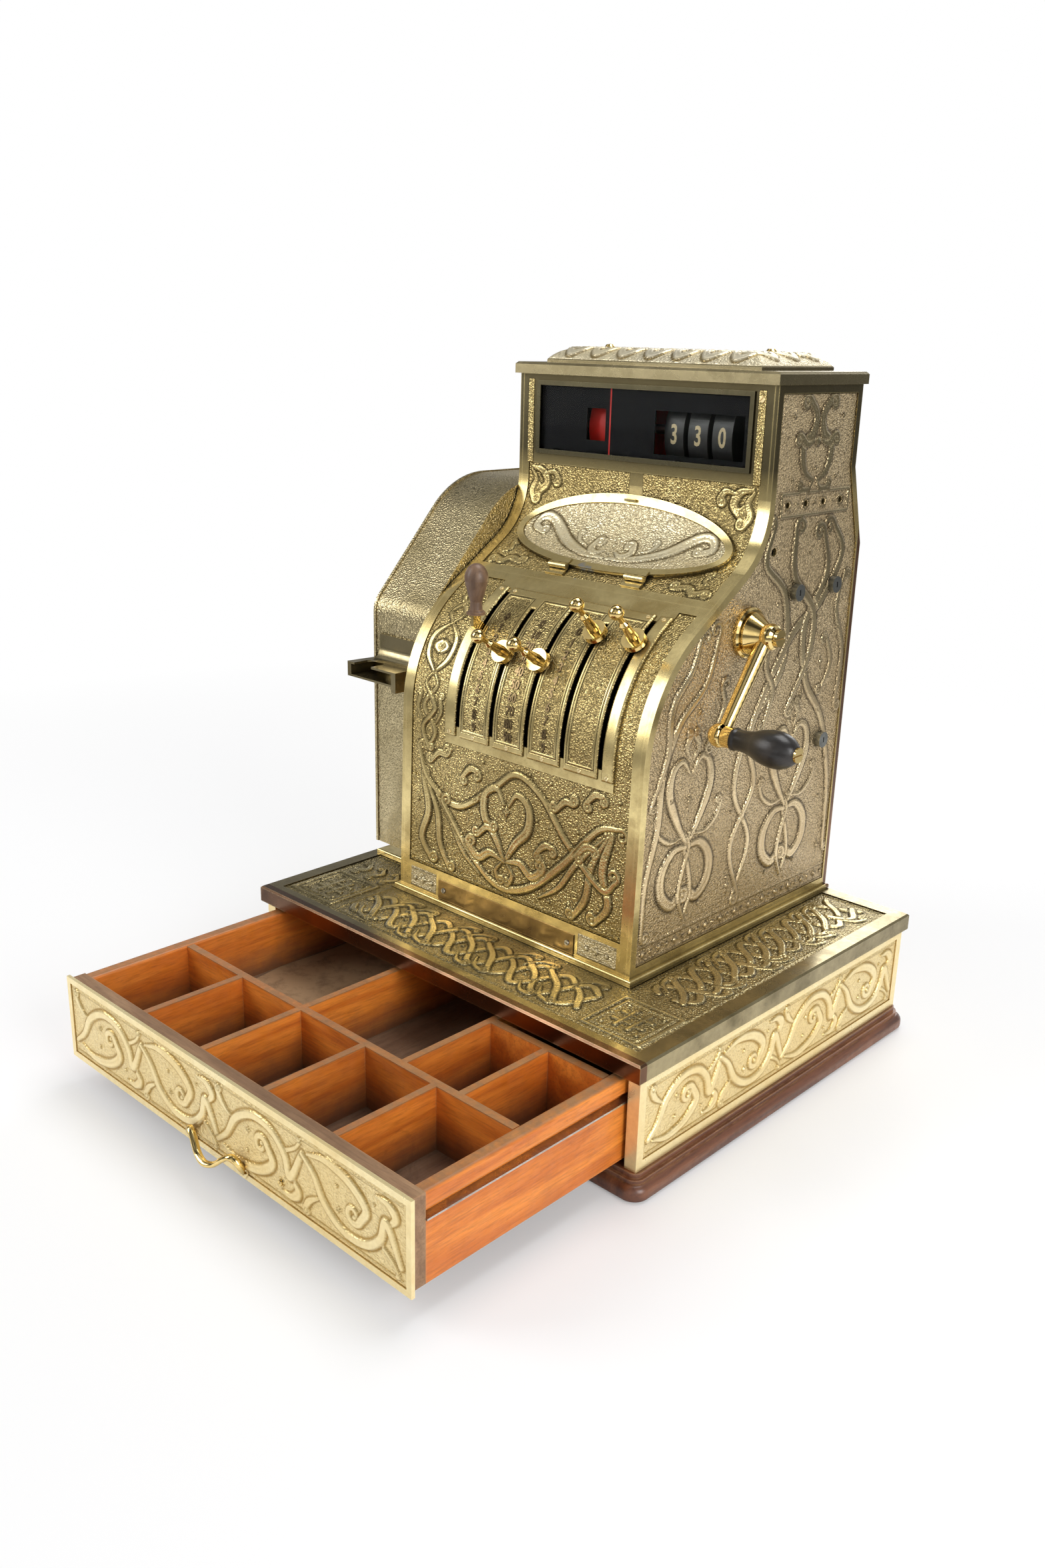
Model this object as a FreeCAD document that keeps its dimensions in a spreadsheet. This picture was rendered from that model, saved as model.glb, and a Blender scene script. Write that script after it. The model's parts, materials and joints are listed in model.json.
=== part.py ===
"""Antique brass cash register with a wooden till drawer, as a parametric FreeCAD document.

X runs to the right, Y to the back and Z up.  The origin is on the floor under the middle of the
base.  The drawer stands open, as far as its rails let it.
"""
import FreeCAD, Part
import math
import os
import re

import Sketcher

DRIVING = {
    # wooden foot and the drawer case on it
    "plinth_height": 21.4,
    "plinth_overhang": 10.0,
    "plinth_corner": 14.0,
    "plinth_bulge_height": 13.6,
    "plinth_step": 3.4,
    "case_height": 78.6,
    "case_half_width": 226.6,
    "case_front": -191.3,
    "case_back": 193.0,
    "brass_panel": 3.0,
    "wall_wood": 8.0,
    "panel_rim": 8.0,
    "relief_depth": 1.2,
    # brass top plate of the base
    "plate_width": 460.0,
    "plate_depth": 394.0,
    "plate_height": 15.0,
    "plate_skin": 4.0,
    "plate_border": 15.0,
    "plate_rib": 5.0,
    "plate_bevel": 1.6,
    "release_hole": 16.0,
    # drawer
    "drawer_out": 207.0,
    "drawer_length": 343.0,
    "drawer_half_width": 212.0,
    "drawer_height": 70.0,
    "drawer_clear_below": 2.5,
    "front_plate_half": 215.0,
    "front_plate_height": 74.0,
    "front_plate_rim": 5.0,
    "front_board": 12.0,
    "side_board": 12.0,
    "side_round": 3.0,
    "back_board": 11.0,
    "board_below_plate": 1.5,
    "floor_depth": 54.0,
    "floor_board": 6.0,
    "cross_board": 7.0,
    "cross_from_front": 107.0,
    "coin_row": 88.5,
    "divider": 6.0,
    "divider_pitch": 80.0,
    "divider_drop": 1.0,
    "coin_divider": 142.0,
    "groove_drop": 12.7,
    "groove_height": 8.5,
    "groove_depth": 6.0,
    "wear_strip": 1.5,
    "wear_strip_width": 7.5,
    "rail_entry": 4.4,
    "rail_length": 340.0,
    "running_gap": 0.3,
    "keyhole_x": 78.0,
    "keyhole_radius": 2.6,
    "pull_half_span": 31.0,
    "pull_above_bottom": 17.0,
    "pull_reach": 21.0,
    "pull_tilt": 25.0,
    "pull_bend": 12.0,
    "pull_end_radius": 2.6,
    "rosette_radius": 6.0,
    # outline of the register above the base, seen from the side
    "foot_height": 4.0,
    "foot_outset": 4.0,
    "half_width": 140.0,
    "foot_front": -100.6,
    "nose_y": 30.0,
    "nose_above": 175.0,
    "nose_radius": 126.0,
    "ramp_angle": 34.0,
    "cove_radius": 67.0,
    "upper_front_y": 49.5,
    "upper_back_y": 176.0,
    "back_y": 197.0,
    "step_low": 330.0,
    "step_drop": 68.5,
    "cabinet_height": 465.5,
    "side_casting": 4.0,
    "casting": 3.0,
    "casing_rim": 8.0,
    "side_rim": 7.0,
    "seam_run": 29.0,
    # cornice and dome
    "cornice_overhang": 2.8,
    "cornice_front_out": 5.1,
    "cornice_back_out": 3.4,
    "cornice_height": 10.0,
    "cornice_bevel": 2.0,
    "cornice_opening_x": 96.0,
    "cornice_opening_rim": 20.0,
    "dome_half_width": 116.0,
    "dome_inset": 13.6,
    "dome_height": 12.5,
    "dome_run": 20.0,
    "dome_edge": 2.5,
    "dome_wall": 2.0,
    "nut_x": 88.0,
    "nut_radius": 4.5,
    # window and indicator
    "window_half": 114.0,
    "window_drop": 9.5,
    "window_height": 56.0,
    "window_frame_rim": 4.0,
    "window_rest": 1.6,
    "window_proud": 1.5,
    "glass": 2.0,
    "mask": 1.0,
    "flag_left": -60.6,
    "flag_right": -39.0,
    "flag_lift": 11.0,
    "flag_height": 27.5,
    "digit_left": 16.0,
    "digit_right": 108.0,
    "digit_lift": 4.0,
    "digit_height": 36.0,
    "wheel_y": 108.0,
    "wheel_lift": 21.0,
    "wheel_radius": 46.0,
    "wheel_width": 20.0,
    "wheel_pitch": 25.0,
    "middle_wheel_x": 54.5,
    "wheel_rim": 2.0,
    "wheel_web": 2.0,
    "hub_radius": 6.5,
    "indicator_shaft": 4.0,
    "shaft_clearance": 0.05,
    # quadrant: slots, scale plates and levers
    "slot_pitch": 41.0,
    "middle_slot_x": 14.0,
    "slot_width": 5.0,
    "quadrant_run": 6.6,
    "quadrant_bottom": 171.0,
    "scale_run": 11.9,
    "scale_bottom": 162.5,
    "scale_sheet": 1.8,
    "scale_gap": 0.15,
    "strip_left": 15.5,
    "strip_right": 14.5,
    "slot_margin": 3.5,
    "cheek_run": 20.0,
    "inner_slot_top": 37.5,
    "digit_step": 5.142857,
    "lever_zero": 43.5,
    "lever_arm": 3.0,
    "lever_arm_height": 12.0,
    "lever_hub": 13.0,
    "lever_hub_width": 9.0,
    "lever_shaft": 6.0,
    "knob_reach": 38.4,
    "ball_radius": 6.25,
    "shoe_radius": 10.0,
    "shoe_height": 4.5,
    "thumb_disc": 2.4,
    "knob_gap": 0.9,
    "knob_stem": 4.75,
    "knob_waist": 3.5,
    "knob_bead": 4.0,
    "knob_neck": 2.25,
    "sale_angle": 51.0,
    "sale_arm_height": 9.0,
    "sale_arm_out": 8.2,
    "sale_neck": 8.0,
    "sale_grip": 44.0,
    "sale_grip_radius": 10.3,
    "sale_tang": 2.5,
    # toothed drive from the levers to the wheels
    "tooth_module": 1.5,
    "pinion_teeth": 13.0,
    "sector_teeth": 91.0,
    "tooth_width": 3.0,
    "tooth_share": 0.41,
    "tooth_top": 0.75,
    "tooth_root": 1.15,
    "rack_depth": 6.0,
    "rack_bridge": 3.0,
    "rack_bridge_gap": 1.0,
    "rack_bridge_height": 12.0,
    "rack_jog": 58.0,
    "rack_over_wheel": 5.0,
    "guide_gap": 0.3,
    "rack_bridge_above": 265.0,
    # oval door and hinges
    "door_low_y": 0.0,
    "door_high_y": 49.5,
    "door_high_above": 366.0,
    "door_half_width": 119.0,
    "door_sheet": 3.0,
    "door_sink": 1.2,
    "door_rim": 7.0,
    "door_rim_proud": 1.2,
    "door_opening_rim": 9.0,
    "door_gap": 0.4,
    "door_seat": 0.05,
    "hinge_off": 3.0,
    "hinge_down": 2.6,
    "hinge_x": 43.0,
    "hinge_shift": 4.0,
    "hinge_width": 20.0,
    "knuckle_radius": 2.7,
    "knuckle_gap": 0.3,
    "hinge_pin": 1.2,
    "hinge_clearance": 0.09,
    "hinge_leaf": 1.2,
    "hinge_leaf_run": 6.0,
    # crank
    "crank_y": 31.9,
    "crank_above": 271.7,
    "crank_shaft": 6.0,
    "crank_throw": 90.6,
    "crank_angle": 54.3,
    "flange_radius": 21.0,
    "flange_height": 4.0,
    "hub_flare": 17.5,
    "crank_hub": 10.0,
    "crank_hub_end": 168.0,
    "crank_arm_x": 158.0,
    "crank_arm_radius": 7.0,
    "crank_arm_tip": 5.6,
    "crank_boss": 10.0,
    "crank_pin": 3.0,
    "grip_start": 170.0,
    "grip_length": 58.0,
    "grip_radius": 15.0,
    "grip_waist": 8.6,
    "grip_collar": 9.4,
    # locks
    "lock_flange": 7.2,
    "lock_proud": 5.0,
    "lock_barrel": 6.0,
    "lock_depth": 11.0,
    "lock_plug": 4.2,
    "keyway_width": 1.4,
    "keyway_height": 5.0,
    # side band, serial plate, screws
    "band_hole": 2.4,
    "band_drop": 94.7,
    "vent_radius": 3.4,
    "vent_y": 61.7,
    "vent_drop": 131.5,
    "serial_half": 83.0,
    "serial_low": 4.5,
    "serial_high": 22.5,
    "serial_sheet": 1.0,
    "frame_x": 124.0,
    "frame_sheet": 3.0,
    # bell
    "bell_radius": 34.0,
    "bell_height": 16.0,
    "bell_wall": 2.0,
    "bell_x": -40.0,
    "bell_y": 120.0,
    "bell_above": 40.0,
    "bell_post": 4.0,
    # printer on the left
    "printer_left": 215.0,
    "printer_front": -66.0,
    "printer_back": 150.0,
    "printer_low": 17.0,
    "printer_slope": 48.0,
    "printer_top": 369.5,
    "printer_crown_y": 76.0,
    "printer_crown_radius": 90.0,
    "printer_nose_radius": 22.0,
    "printer_sheet": 1.5,
    "printer_bead": 2.0,
    "pad_front": -60.0,
    "pad_left": 222.0,
    "chute_above": 204.0,
    "chute_height": 14.0,
    "chute_ramp": 24.0,
    "chute_left": 218.0,
    "chute_right": 150.0,
    "chute_reach": 31.0,
    "chute_sheet": 2.0,
    "chute_notch": 12.0,
    "chute_notch_x": -196.0,
    "chute_block": 6.0,
}

doc = FreeCAD.newDocument("till")
dims = doc.addObject("Spreadsheet::Sheet", "dims")
for row, (alias, value) in enumerate(DRIVING.items(), start=1):
    dims.set(f"A{row}", alias.replace("_", " "))
    dims.set(f"B{row}", str(value))
    dims.setAlias(f"B{row}", alias)
doc.recompute()

TOP = "(plinth_height + case_height + plate_height)"
FLOOR = f"({TOP} + foot_height)"
CASE_TOP = "(plinth_height + case_height)"


def bound(text):
    """An expression in which each driving size is read from the sheet."""
    return re.sub(r"[a-z_]+", lambda m: "dims." + m[0] if m[0] in DRIVING else m[0], str(text))


def size(text):
    """The present value of an expression."""
    return float(dims.evalExpression(bound(text)))


def tie(item, **sizes):
    """Binds properties to expressions; x, y and z stand for the place of the object."""
    places = {"x": "Placement.Base.x", "y": "Placement.Base.y", "z": "Placement.Base.z"}
    for name, text in sizes.items():
        item.setExpression(places.get(name, name), bound(text))
    return item


def turned_about(item, axis, angle):
    """Sets the rotation of an object; its angle follows the sheet."""
    item.Placement.Rotation = FreeCAD.Rotation(FreeCAD.Vector(*axis), size(angle))
    item.setExpression("Placement.Rotation.Angle", bound(angle))
    return item


def add(kind, name, **sizes):
    item = tie(doc.addObject(kind, name), **sizes)
    item.Label = name
    return item


def block(name, low, high):
    """A box between two corners, each given as three expressions."""
    lengths = [f"({b}) - ({a})" for a, b in zip(low, high)]
    return add("Part::Box", name, x=low[0], y=low[1], z=low[2],
               Length=lengths[0], Width=lengths[1], Height=lengths[2])


def rod(name, radius, start, length, direction="z"):
    """A cylinder from a start point to the right, to the front or up."""
    item = add("Part::Cylinder", name, x=start[0], y=start[1], z=start[2],
               Radius=radius, Height=length)
    about = {"x": (0, 1, 0), "y": (1, 0, 0)}
    if direction in about:
        item.Placement.Rotation = FreeCAD.Rotation(FreeCAD.Vector(*about[direction]), 90)
    return item


def cut(name, base, tool):
    item = doc.addObject("Part::Cut", name)
    item.Base, item.Tool, item.Label = base, tool, name
    return item


def common(name, base, tool):
    item = doc.addObject("Part::Common", name)
    item.Base, item.Tool, item.Label = base, tool, name
    return item


def joined(name, parts):
    item = doc.addObject("Part::MultiFuse", name)
    item.Shapes, item.Label = parts, name
    return item


def group(name, parts):
    """Separate solids that share one node."""
    item = doc.addObject("Part::Compound", name)
    item.Links, item.Label = parts, name
    return item


# ---------------------------------------------------------------- sketches and bodies

def corner_of(text):
    return FreeCAD.Vector(size(text[0]), size(text[1]), 0)


def arc_between(start, end, radius, side):
    """An arc that turns left (side 1) or right (side -1) on its way from start to end."""
    half = (end - start) * 0.5
    rise = math.sqrt(max(radius ** 2 - half.Length ** 2, 0))
    left = FreeCAD.Vector(-half.y, half.x, 0).normalize()
    centre = start + half + left * rise * side
    first, last = (start, end) if side > 0 else (end, start)
    begin = math.atan2(first.y - centre.y, first.x - centre.x)
    finish = math.atan2(last.y - centre.y, last.x - centre.x)
    return Part.ArcOfCircle(Part.Circle(centre, FreeCAD.Vector(0, 0, 1), radius), begin, finish)


def held_point(index, spot, text):
    """Constraints that hold one point of a sketch at two expressions."""
    return [(Sketcher.Constraint(kind, -1, 1, index, spot, size(part)), part)
            for kind, part in zip(("DistanceX", "DistanceY"), text)]


def draw_circle(sketch, across, up, radius):
    circle = Part.Circle(corner_of((across, up)), FreeCAD.Vector(0, 0, 1), size(radius))
    index = sketch.addGeometry(circle)
    width = Sketcher.Constraint("Radius", index, size(radius))
    return held_point(index, 3, (across, up)) + [(width, radius)]


def draw_loop(sketch, corners, closed=True):
    """A loop or path.  A corner is (across, up), or (across, up, radius, side) before an arc."""
    spots = [corner_of(c) for c in corners]
    ends, held = [], []
    for here, corner in enumerate(corners if closed else corners[:-1]):
        start, end = spots[here], spots[(here + 1) % len(spots)]
        if len(corner) == 2:
            index = sketch.addGeometry(Part.LineSegment(start, end))
            ends.append((index, 1, 2))
            continue
        arc = arc_between(start, end, size(corner[2]), corner[3])
        index = sketch.addGeometry(arc)
        ends.append((index, 1, 2) if corner[3] > 0 else (index, 2, 1))
        held.append((Sketcher.Constraint("Radius", index, size(corner[2])), corner[2]))
    for here, (index, first, last) in enumerate(ends):
        held += held_point(index, first, corners[here])
        if here + 1 == len(ends) and not closed:
            held += held_point(index, last, corners[-1])
            continue
        after, after_first, _ = ends[(here + 1) % len(ends)]
        held.append((Sketcher.Constraint("Coincident", index, last, after, after_first), None))
    return held


def sketch_on(body, plane, offset, loops, closed=True):
    """A sketch on one of the body's own planes, moved along the plane's normal."""
    sketch = body.newObject("Sketcher::SketchObject", body.Name + "_sketch")
    role = plane + "_Plane"
    support = next(f for f in body.Origin.OriginFeatures if f.Role == role)
    sketch.AttachmentSupport, sketch.MapMode = [(support, "")], "FlatFace"
    sketch.setExpression("AttachmentOffset.Base.z", bound(offset))
    held = []
    for loop in loops:
        if loop[0] == "circle":
            held += draw_circle(sketch, *loop[1:])
        else:
            held += draw_loop(sketch, loop, closed)
    sketch.addConstraint([constraint for constraint, _ in held])
    for number, (_, text) in enumerate(held):
        if text:
            sketch.setExpression(f"Constraints[{number}]", bound(text))
    return sketch


def feature(kind, body, plane, low, high, loops):
    """A pad or pocket between two heights along X, Y or Z."""
    offset = f"-({high})" if plane == "XZ" else low
    item = body.newObject(kind, body.Name + "_feature")
    item.Profile = sketch_on(body, plane, offset, loops)
    item.Length = size(f"({high}) - ({low})")
    item.setExpression("Length", bound(f"({high}) - ({low})"))
    item.Reversed = kind == "PartDesign::Pocket"
    return item


def solid(name):
    body = doc.addObject("PartDesign::Body", name)
    body.Label = name
    return body


def pad(body, plane, low, high, *loops):
    return feature("PartDesign::Pad", body, plane, low, high, loops)


def pocket(body, plane, low, high, *loops):
    return feature("PartDesign::Pocket", body, plane, low, high, loops)


def prism(name, plane, low, high, *loops):
    body = solid(name)
    pad(body, plane, low, high, *loops)
    return body


def spun(name, profile, x, y, z, axis=(0, 1, 0), angle="0"):
    """A turned piece.  The profile is (radius, height) corners about the body's own Z."""
    body = solid(name)
    sketch = sketch_on(body, "XZ", "0", [profile])
    turn = body.newObject("PartDesign::Revolution", name + "_turn")
    turn.Profile, turn.ReferenceAxis, turn.Angle = sketch, (sketch, ["V_Axis"]), 360
    turned_about(body, axis, angle)
    return tie(body, x=x, y=y, z=z)


def soften(body, radius, chosen, kind="PartDesign::Fillet"):
    """Rounds or bevels the edges of the body that the test chooses."""
    doc.recompute()
    last = body.Tip
    names = [f"Edge{n}" for n, edge in enumerate(last.Shape.Edges, start=1) if chosen(edge)]
    item = body.newObject(kind, body.Name + "_soft")
    item.Base = (last, names)
    name = "Radius" if kind == "PartDesign::Fillet" else "Size"
    item.setExpression(name, bound(radius))
    return item


def level(height):
    """Chooses the edges that lie flat at a height."""
    at = size(height)

    def chosen(edge):
        box = edge.BoundBox
        return abs(box.ZMin - at) < 0.01 and abs(box.ZMax - at) < 0.01
    return chosen


def bulge(aside, along):
    """The radius of an arc that starts or ends straight along."""
    return f"((({aside}) ^ 2 + ({along}) ^ 2) / (2 * ({aside})))"


def rectangle(left, low, right, high):
    return [(left, low), (right, low), (right, high), (left, high)]


def rounded(left, low, right, high, radius):
    """A rectangle with round corners, as a loop."""
    r = f"({radius})"
    return [(f"{left} + {r}", low), (f"{right} - {r}", low, r, 1),
            (right, f"{low} + {r}"), (right, f"{high} - {r}", r, 1),
            (f"{right} - {r}", high), (f"{left} + {r}", high, r, 1),
            (left, f"{high} - {r}"), (left, f"{low} + {r}", r, 1)]


# ---------------------------------------------------------------- foot board, case and top plate

def outline_out(out):
    """The outline of the case, made larger all round."""
    return (f"-case_half_width - ({out})", f"case_front - ({out})",
            f"case_half_width + ({out})", f"case_back + ({out})")


plinth = solid("plinth_board")
pad(plinth, "XY", "0", "plinth_bulge_height",
    rounded(*outline_out("plinth_overhang"), "plinth_corner"))
soften(plinth, "plinth_bulge_height * 0.45", level("plinth_bulge_height"))
soften(plinth, "plinth_bulge_height * 0.3", level("0"))
pad(plinth, "XY", "plinth_bulge_height", "plinth_bulge_height + plinth_step",
    rounded(*outline_out("plinth_overhang * 0.5"), "plinth_corner * 0.7"))
pad(plinth, "XY", "plinth_bulge_height + plinth_step", "plinth_height",
    rounded(*outline_out("plinth_overhang * 0.25"), "plinth_corner * 0.5"))

PANEL_INNER = "(case_half_width - brass_panel)"
WALL_INNER = "(case_half_width - brass_panel - wall_wood)"
WALL_FRONT = "(case_front + brass_panel)"
WALL_BACK = "(case_back - brass_panel)"

wall_right = block("case_wall_right", (WALL_INNER, WALL_FRONT, "plinth_height"),
                   (PANEL_INNER, WALL_BACK, CASE_TOP))
wall_left = block("case_wall_left", (f"-{PANEL_INNER}", WALL_FRONT, "plinth_height"),
                  (f"-{WALL_INNER}", WALL_BACK, CASE_TOP))
wall_back = block("case_wall_back",
                  (f"-{WALL_INNER}", f"{WALL_BACK} - wall_wood", "plinth_height"),
                  (WALL_INNER, WALL_BACK, CASE_TOP))
group("base_walls", [wall_left, wall_right, wall_back])


def case_panel(name, sign):
    """A brass side panel with a sunk field and a return in front of the wooden wall."""
    body = solid(name)
    edges = [f"{sign} * {PANEL_INNER}", f"{sign} * case_half_width"]
    low, high = edges if sign > 0 else edges[::-1]
    pad(body, "YZ", low, high, rectangle("case_front", "plinth_height", "case_back", CASE_TOP))
    turn = [f"{sign} * {WALL_INNER}", f"{sign} * {PANEL_INNER}"]
    inner, outer = turn if sign > 0 else turn[::-1]
    pad(body, "YZ", inner, outer,
        rectangle("case_front", "plinth_height", WALL_FRONT, CASE_TOP))
    field = [f"{sign} * (case_half_width - relief_depth)", f"{sign} * case_half_width"]
    near, far = field if sign > 0 else field[::-1]
    pocket(body, "YZ", near, far,
           rectangle("case_front + panel_rim", "plinth_height + panel_rim",
                     "case_back - panel_rim", f"{CASE_TOP} - panel_rim"))
    return body


case_panel("base_panel_right", 1)
case_panel("base_panel_left", -1)
block("base_panel_back", (f"-{PANEL_INNER}", WALL_BACK, "plinth_height"),
      (PANEL_INNER, "case_back", CASE_TOP))

PLATE_X = "(plate_width / 2)"
PLATE_Y = "(plate_depth / 2)"
FOOT_X = "(half_width + foot_outset)"
FOOT_Y = "(foot_front - foot_outset)"
FIELD_X = f"({PLATE_X} - plate_border)"
FIELD_Y = f"({PLATE_Y} - plate_border)"

top = solid("base_top")
pad(top, "XY", CASE_TOP, TOP, rectangle(f"-{PLATE_X}", f"-{PLATE_Y}", PLATE_X, PLATE_Y))
soften(top, "plate_bevel", level(TOP), "PartDesign::Chamfer")
pocket(top, "XY", f"{TOP} - relief_depth", TOP,
       [(f"-{FIELD_X}", f"-{FIELD_Y}"), (FIELD_X, f"-{FIELD_Y}"), (FIELD_X, FIELD_Y),
        (f"{FOOT_X} + 2", FIELD_Y), (f"{FOOT_X} + 2", f"{FOOT_Y} - 2"),
        (f"-{FOOT_X} - 2", f"{FOOT_Y} - 2"), (f"-{FOOT_X} - 2", "pad_front - 2"),
        (f"-{FIELD_X}", "pad_front - 2")],
       rectangle(f"-{FIELD_X}", "printer_back + 2", f"-{FOOT_X} - 2", FIELD_Y))
CELL_X = "((plate_width / 2 - 22 - plate_rib) / 3)"
CELL_Y = "((plate_depth - 2 * 18 - 2 * plate_rib) / 3)"
cells = []
for column in (-1, 0, 1):
    for line in (-1, 0, 1):
        mid_x = f"{column} * (2 * {CELL_X} + plate_rib)"
        mid_y = f"{line} * ({CELL_Y} + plate_rib)"
        cells.append(rectangle(f"{mid_x} - {CELL_X}", f"{mid_y} - {CELL_Y} / 2",
                               f"{mid_x} + {CELL_X}", f"{mid_y} + {CELL_Y} / 2"))
pocket(top, "XY", CASE_TOP, f"{TOP} - plate_skin", *cells)
pocket(top, "XY", f"{TOP} - plate_skin", TOP, ("circle", "bell_x + 60", "bell_y", "release_hole / 2"))


# ---------------------------------------------------------------- drawer

DRAWER_FRONT = "(-plate_depth / 2 - drawer_out)"
BOARD_FRONT = f"({DRAWER_FRONT} + brass_panel)"
SIDE_FRONT = f"({BOARD_FRONT} + front_board)"
SIDE_BACK = f"({SIDE_FRONT} + drawer_length - front_board)"
FRONT_LOW = "(plinth_height + drawer_clear_below)"
FRONT_HIGH = f"({FRONT_LOW} + front_plate_height)"
SIDE_HIGH = f"({FRONT_HIGH} - board_below_plate)"
SIDE_LOW = f"({SIDE_HIGH} - drawer_height)"
SIDE_INNER = "(drawer_half_width - side_board)"
FLOOR_HIGH = f"({SIDE_HIGH} - floor_depth)"
CROSS_FRONT = f"({BOARD_FRONT} + cross_from_front - front_board * 0.3)"
CROSS_BACK = f"({CROSS_FRONT} + cross_board)"
BACK_FRONT = f"({SIDE_BACK} - back_board)"
DIVIDER_HIGH = f"({SIDE_HIGH} - divider_drop)"
COIN_WALL = f"({CROSS_BACK} + coin_row)"
GROOVE_HIGH = f"({SIDE_HIGH} - groove_drop)"
GROOVE_LOW = f"({GROOVE_HIGH} - groove_height)"
STRIP_HIGH = f"({GROOVE_LOW} + wear_strip)"

front = solid("drawer_front")
pad(front, "XY", SIDE_LOW, SIDE_HIGH,
    rectangle("-drawer_half_width", BOARD_FRONT, "drawer_half_width", SIDE_FRONT))

plate = solid("drawer_front_plate")
pad(plate, "XZ", DRAWER_FRONT, BOARD_FRONT,
    rectangle("-front_plate_half", FRONT_LOW, "front_plate_half", FRONT_HIGH))
pocket(plate, "XZ", DRAWER_FRONT, f"{DRAWER_FRONT} + relief_depth",
       rectangle("-front_plate_half + front_plate_rim", f"{FRONT_LOW} + front_plate_rim",
                 "front_plate_half - front_plate_rim", f"{FRONT_HIGH} - front_plate_rim"))
KEYHOLE_Z = f"({FRONT_LOW} + front_plate_height * 0.42)"
pocket(plate, "XZ", DRAWER_FRONT, BOARD_FRONT, ("circle", "keyhole_x", KEYHOLE_Z, "keyhole_radius"))


def drawer_side(name, sign):
    """A side board with a rounded top edge and a groove for the rail."""
    body = solid(name)
    edges = [f"{sign} * {SIDE_INNER}", f"{sign} * drawer_half_width"]
    near, far = edges if sign > 0 else edges[::-1]
    turn = [(near, SIDE_LOW), (far, SIDE_LOW), (far, f"{SIDE_HIGH} - side_round", "side_round", 1),
            (f"{far} - side_round", SIDE_HIGH), (f"{near} + side_round", SIDE_HIGH, "side_round", 1),
            (near, f"{SIDE_HIGH} - side_round")]
    pad(body, "XZ", SIDE_FRONT, SIDE_BACK, turn)
    groove = [f"{sign} * (drawer_half_width - groove_depth)", f"{sign} * drawer_half_width"]
    low, high = groove if sign > 0 else groove[::-1]
    pocket(body, "XZ", SIDE_FRONT, SIDE_BACK, rectangle(low, GROOVE_LOW, high, GROOVE_HIGH))
    return body


drawer_side("drawer_side_right", 1)
drawer_side("drawer_side_left", -1)
block("drawer_back", (f"-{SIDE_INNER}", BACK_FRONT, SIDE_LOW),
      (SIDE_INNER, SIDE_BACK, f"{SIDE_HIGH} - 2 * side_round"))
block("drawer_bottom", (f"-{SIDE_INNER}", SIDE_FRONT, f"{FLOOR_HIGH} - floor_board"),
      (SIDE_INNER, BACK_FRONT, FLOOR_HIGH))
block("drawer_cross_partition", (f"-{SIDE_INNER}", CROSS_FRONT, FLOOR_HIGH),
      (SIDE_INNER, CROSS_BACK, f"{SIDE_HIGH} - divider_drop"))

dividers = []
for number, steps in enumerate((-1.5, -0.5, 0.5, 1.5), start=1):
    middle = f"{steps} * divider_pitch"
    dividers.append(block(f"front_divider_{number}",
                          (f"{middle} - divider / 2", SIDE_FRONT, FLOOR_HIGH),
                          (f"{middle} + divider / 2", CROSS_FRONT, DIVIDER_HIGH)))
for number, steps in enumerate((-0.5, 1), start=1):
    middle = f"{steps} * divider_pitch"
    dividers.append(block(f"rear_divider_{number}",
                          (f"{middle} - divider / 2", CROSS_BACK, FLOOR_HIGH),
                          (f"{middle} + divider / 2", BACK_FRONT, DIVIDER_HIGH)))
dividers.append(block("coin_divider_board",
                      ("coin_divider - divider / 2", CROSS_BACK, FLOOR_HIGH),
                      ("coin_divider + divider / 2", COIN_WALL, DIVIDER_HIGH)))
dividers.append(block("coin_wall", ("divider_pitch + divider / 2", COIN_WALL, FLOOR_HIGH),
                      (SIDE_INNER, f"{COIN_WALL} + cross_board", DIVIDER_HIGH)))
group("drawer_dividers", dividers)

STRIP_IN = "(drawer_half_width - groove_depth)"
strips, rails = [], []
for name, sign in (("right", 1), ("left", -1)):
    span = [f"{sign} * {STRIP_IN}", f"{sign} * ({STRIP_IN} + wear_strip_width)"]
    near, far = span if sign > 0 else span[::-1]
    strips.append(block(f"wear_strip_{name}", (near, SIDE_FRONT, GROOVE_LOW),
                        (far, SIDE_BACK, STRIP_HIGH)))
    reach = [f"{sign} * ({STRIP_IN} + 1.5)", f"{sign} * {WALL_INNER}"]
    near, far = reach if sign > 0 else reach[::-1]
    rail_start = "(-plate_depth / 2 + brass_panel + front_board + rail_entry)"
    rails.append(block(f"rail_{name}", (near, rail_start, f"{STRIP_HIGH} + running_gap"),
                       (far, f"{rail_start} + rail_length", f"{GROOVE_HIGH} - running_gap")))
group("drawer_strips", strips)
group("runner_rails", rails)


# ---------------------------------------------------------------- outline of the register

def above(height):
    """A height over the top plate of the base."""
    return f"({TOP} + {height})"


NOSE_Z = above("nose_above")
WINDOW_HIGH = "(cabinet_height - window_drop)"
WINDOW_LOW = f"({WINDOW_HIGH} - window_height)"
WHEEL_ABOVE = f"({WINDOW_LOW} + wheel_lift)"
RACK_TOP = above(f"({WHEEL_ABOVE} + rack_over_wheel)")
CABINET_TOP = above("cabinet_height")
RAMP_END_Y = "(upper_front_y - cove_radius + cove_radius * sin(ramp_angle))"
RAMP_START_Y = "(nose_y - nose_radius * sin(ramp_angle))"
COVE_Z = (f"({NOSE_Z} + nose_radius * cos(ramp_angle)"
          f" + ({RAMP_END_Y} - {RAMP_START_Y}) * tan(ramp_angle) + cove_radius * cos(ramp_angle))")


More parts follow.
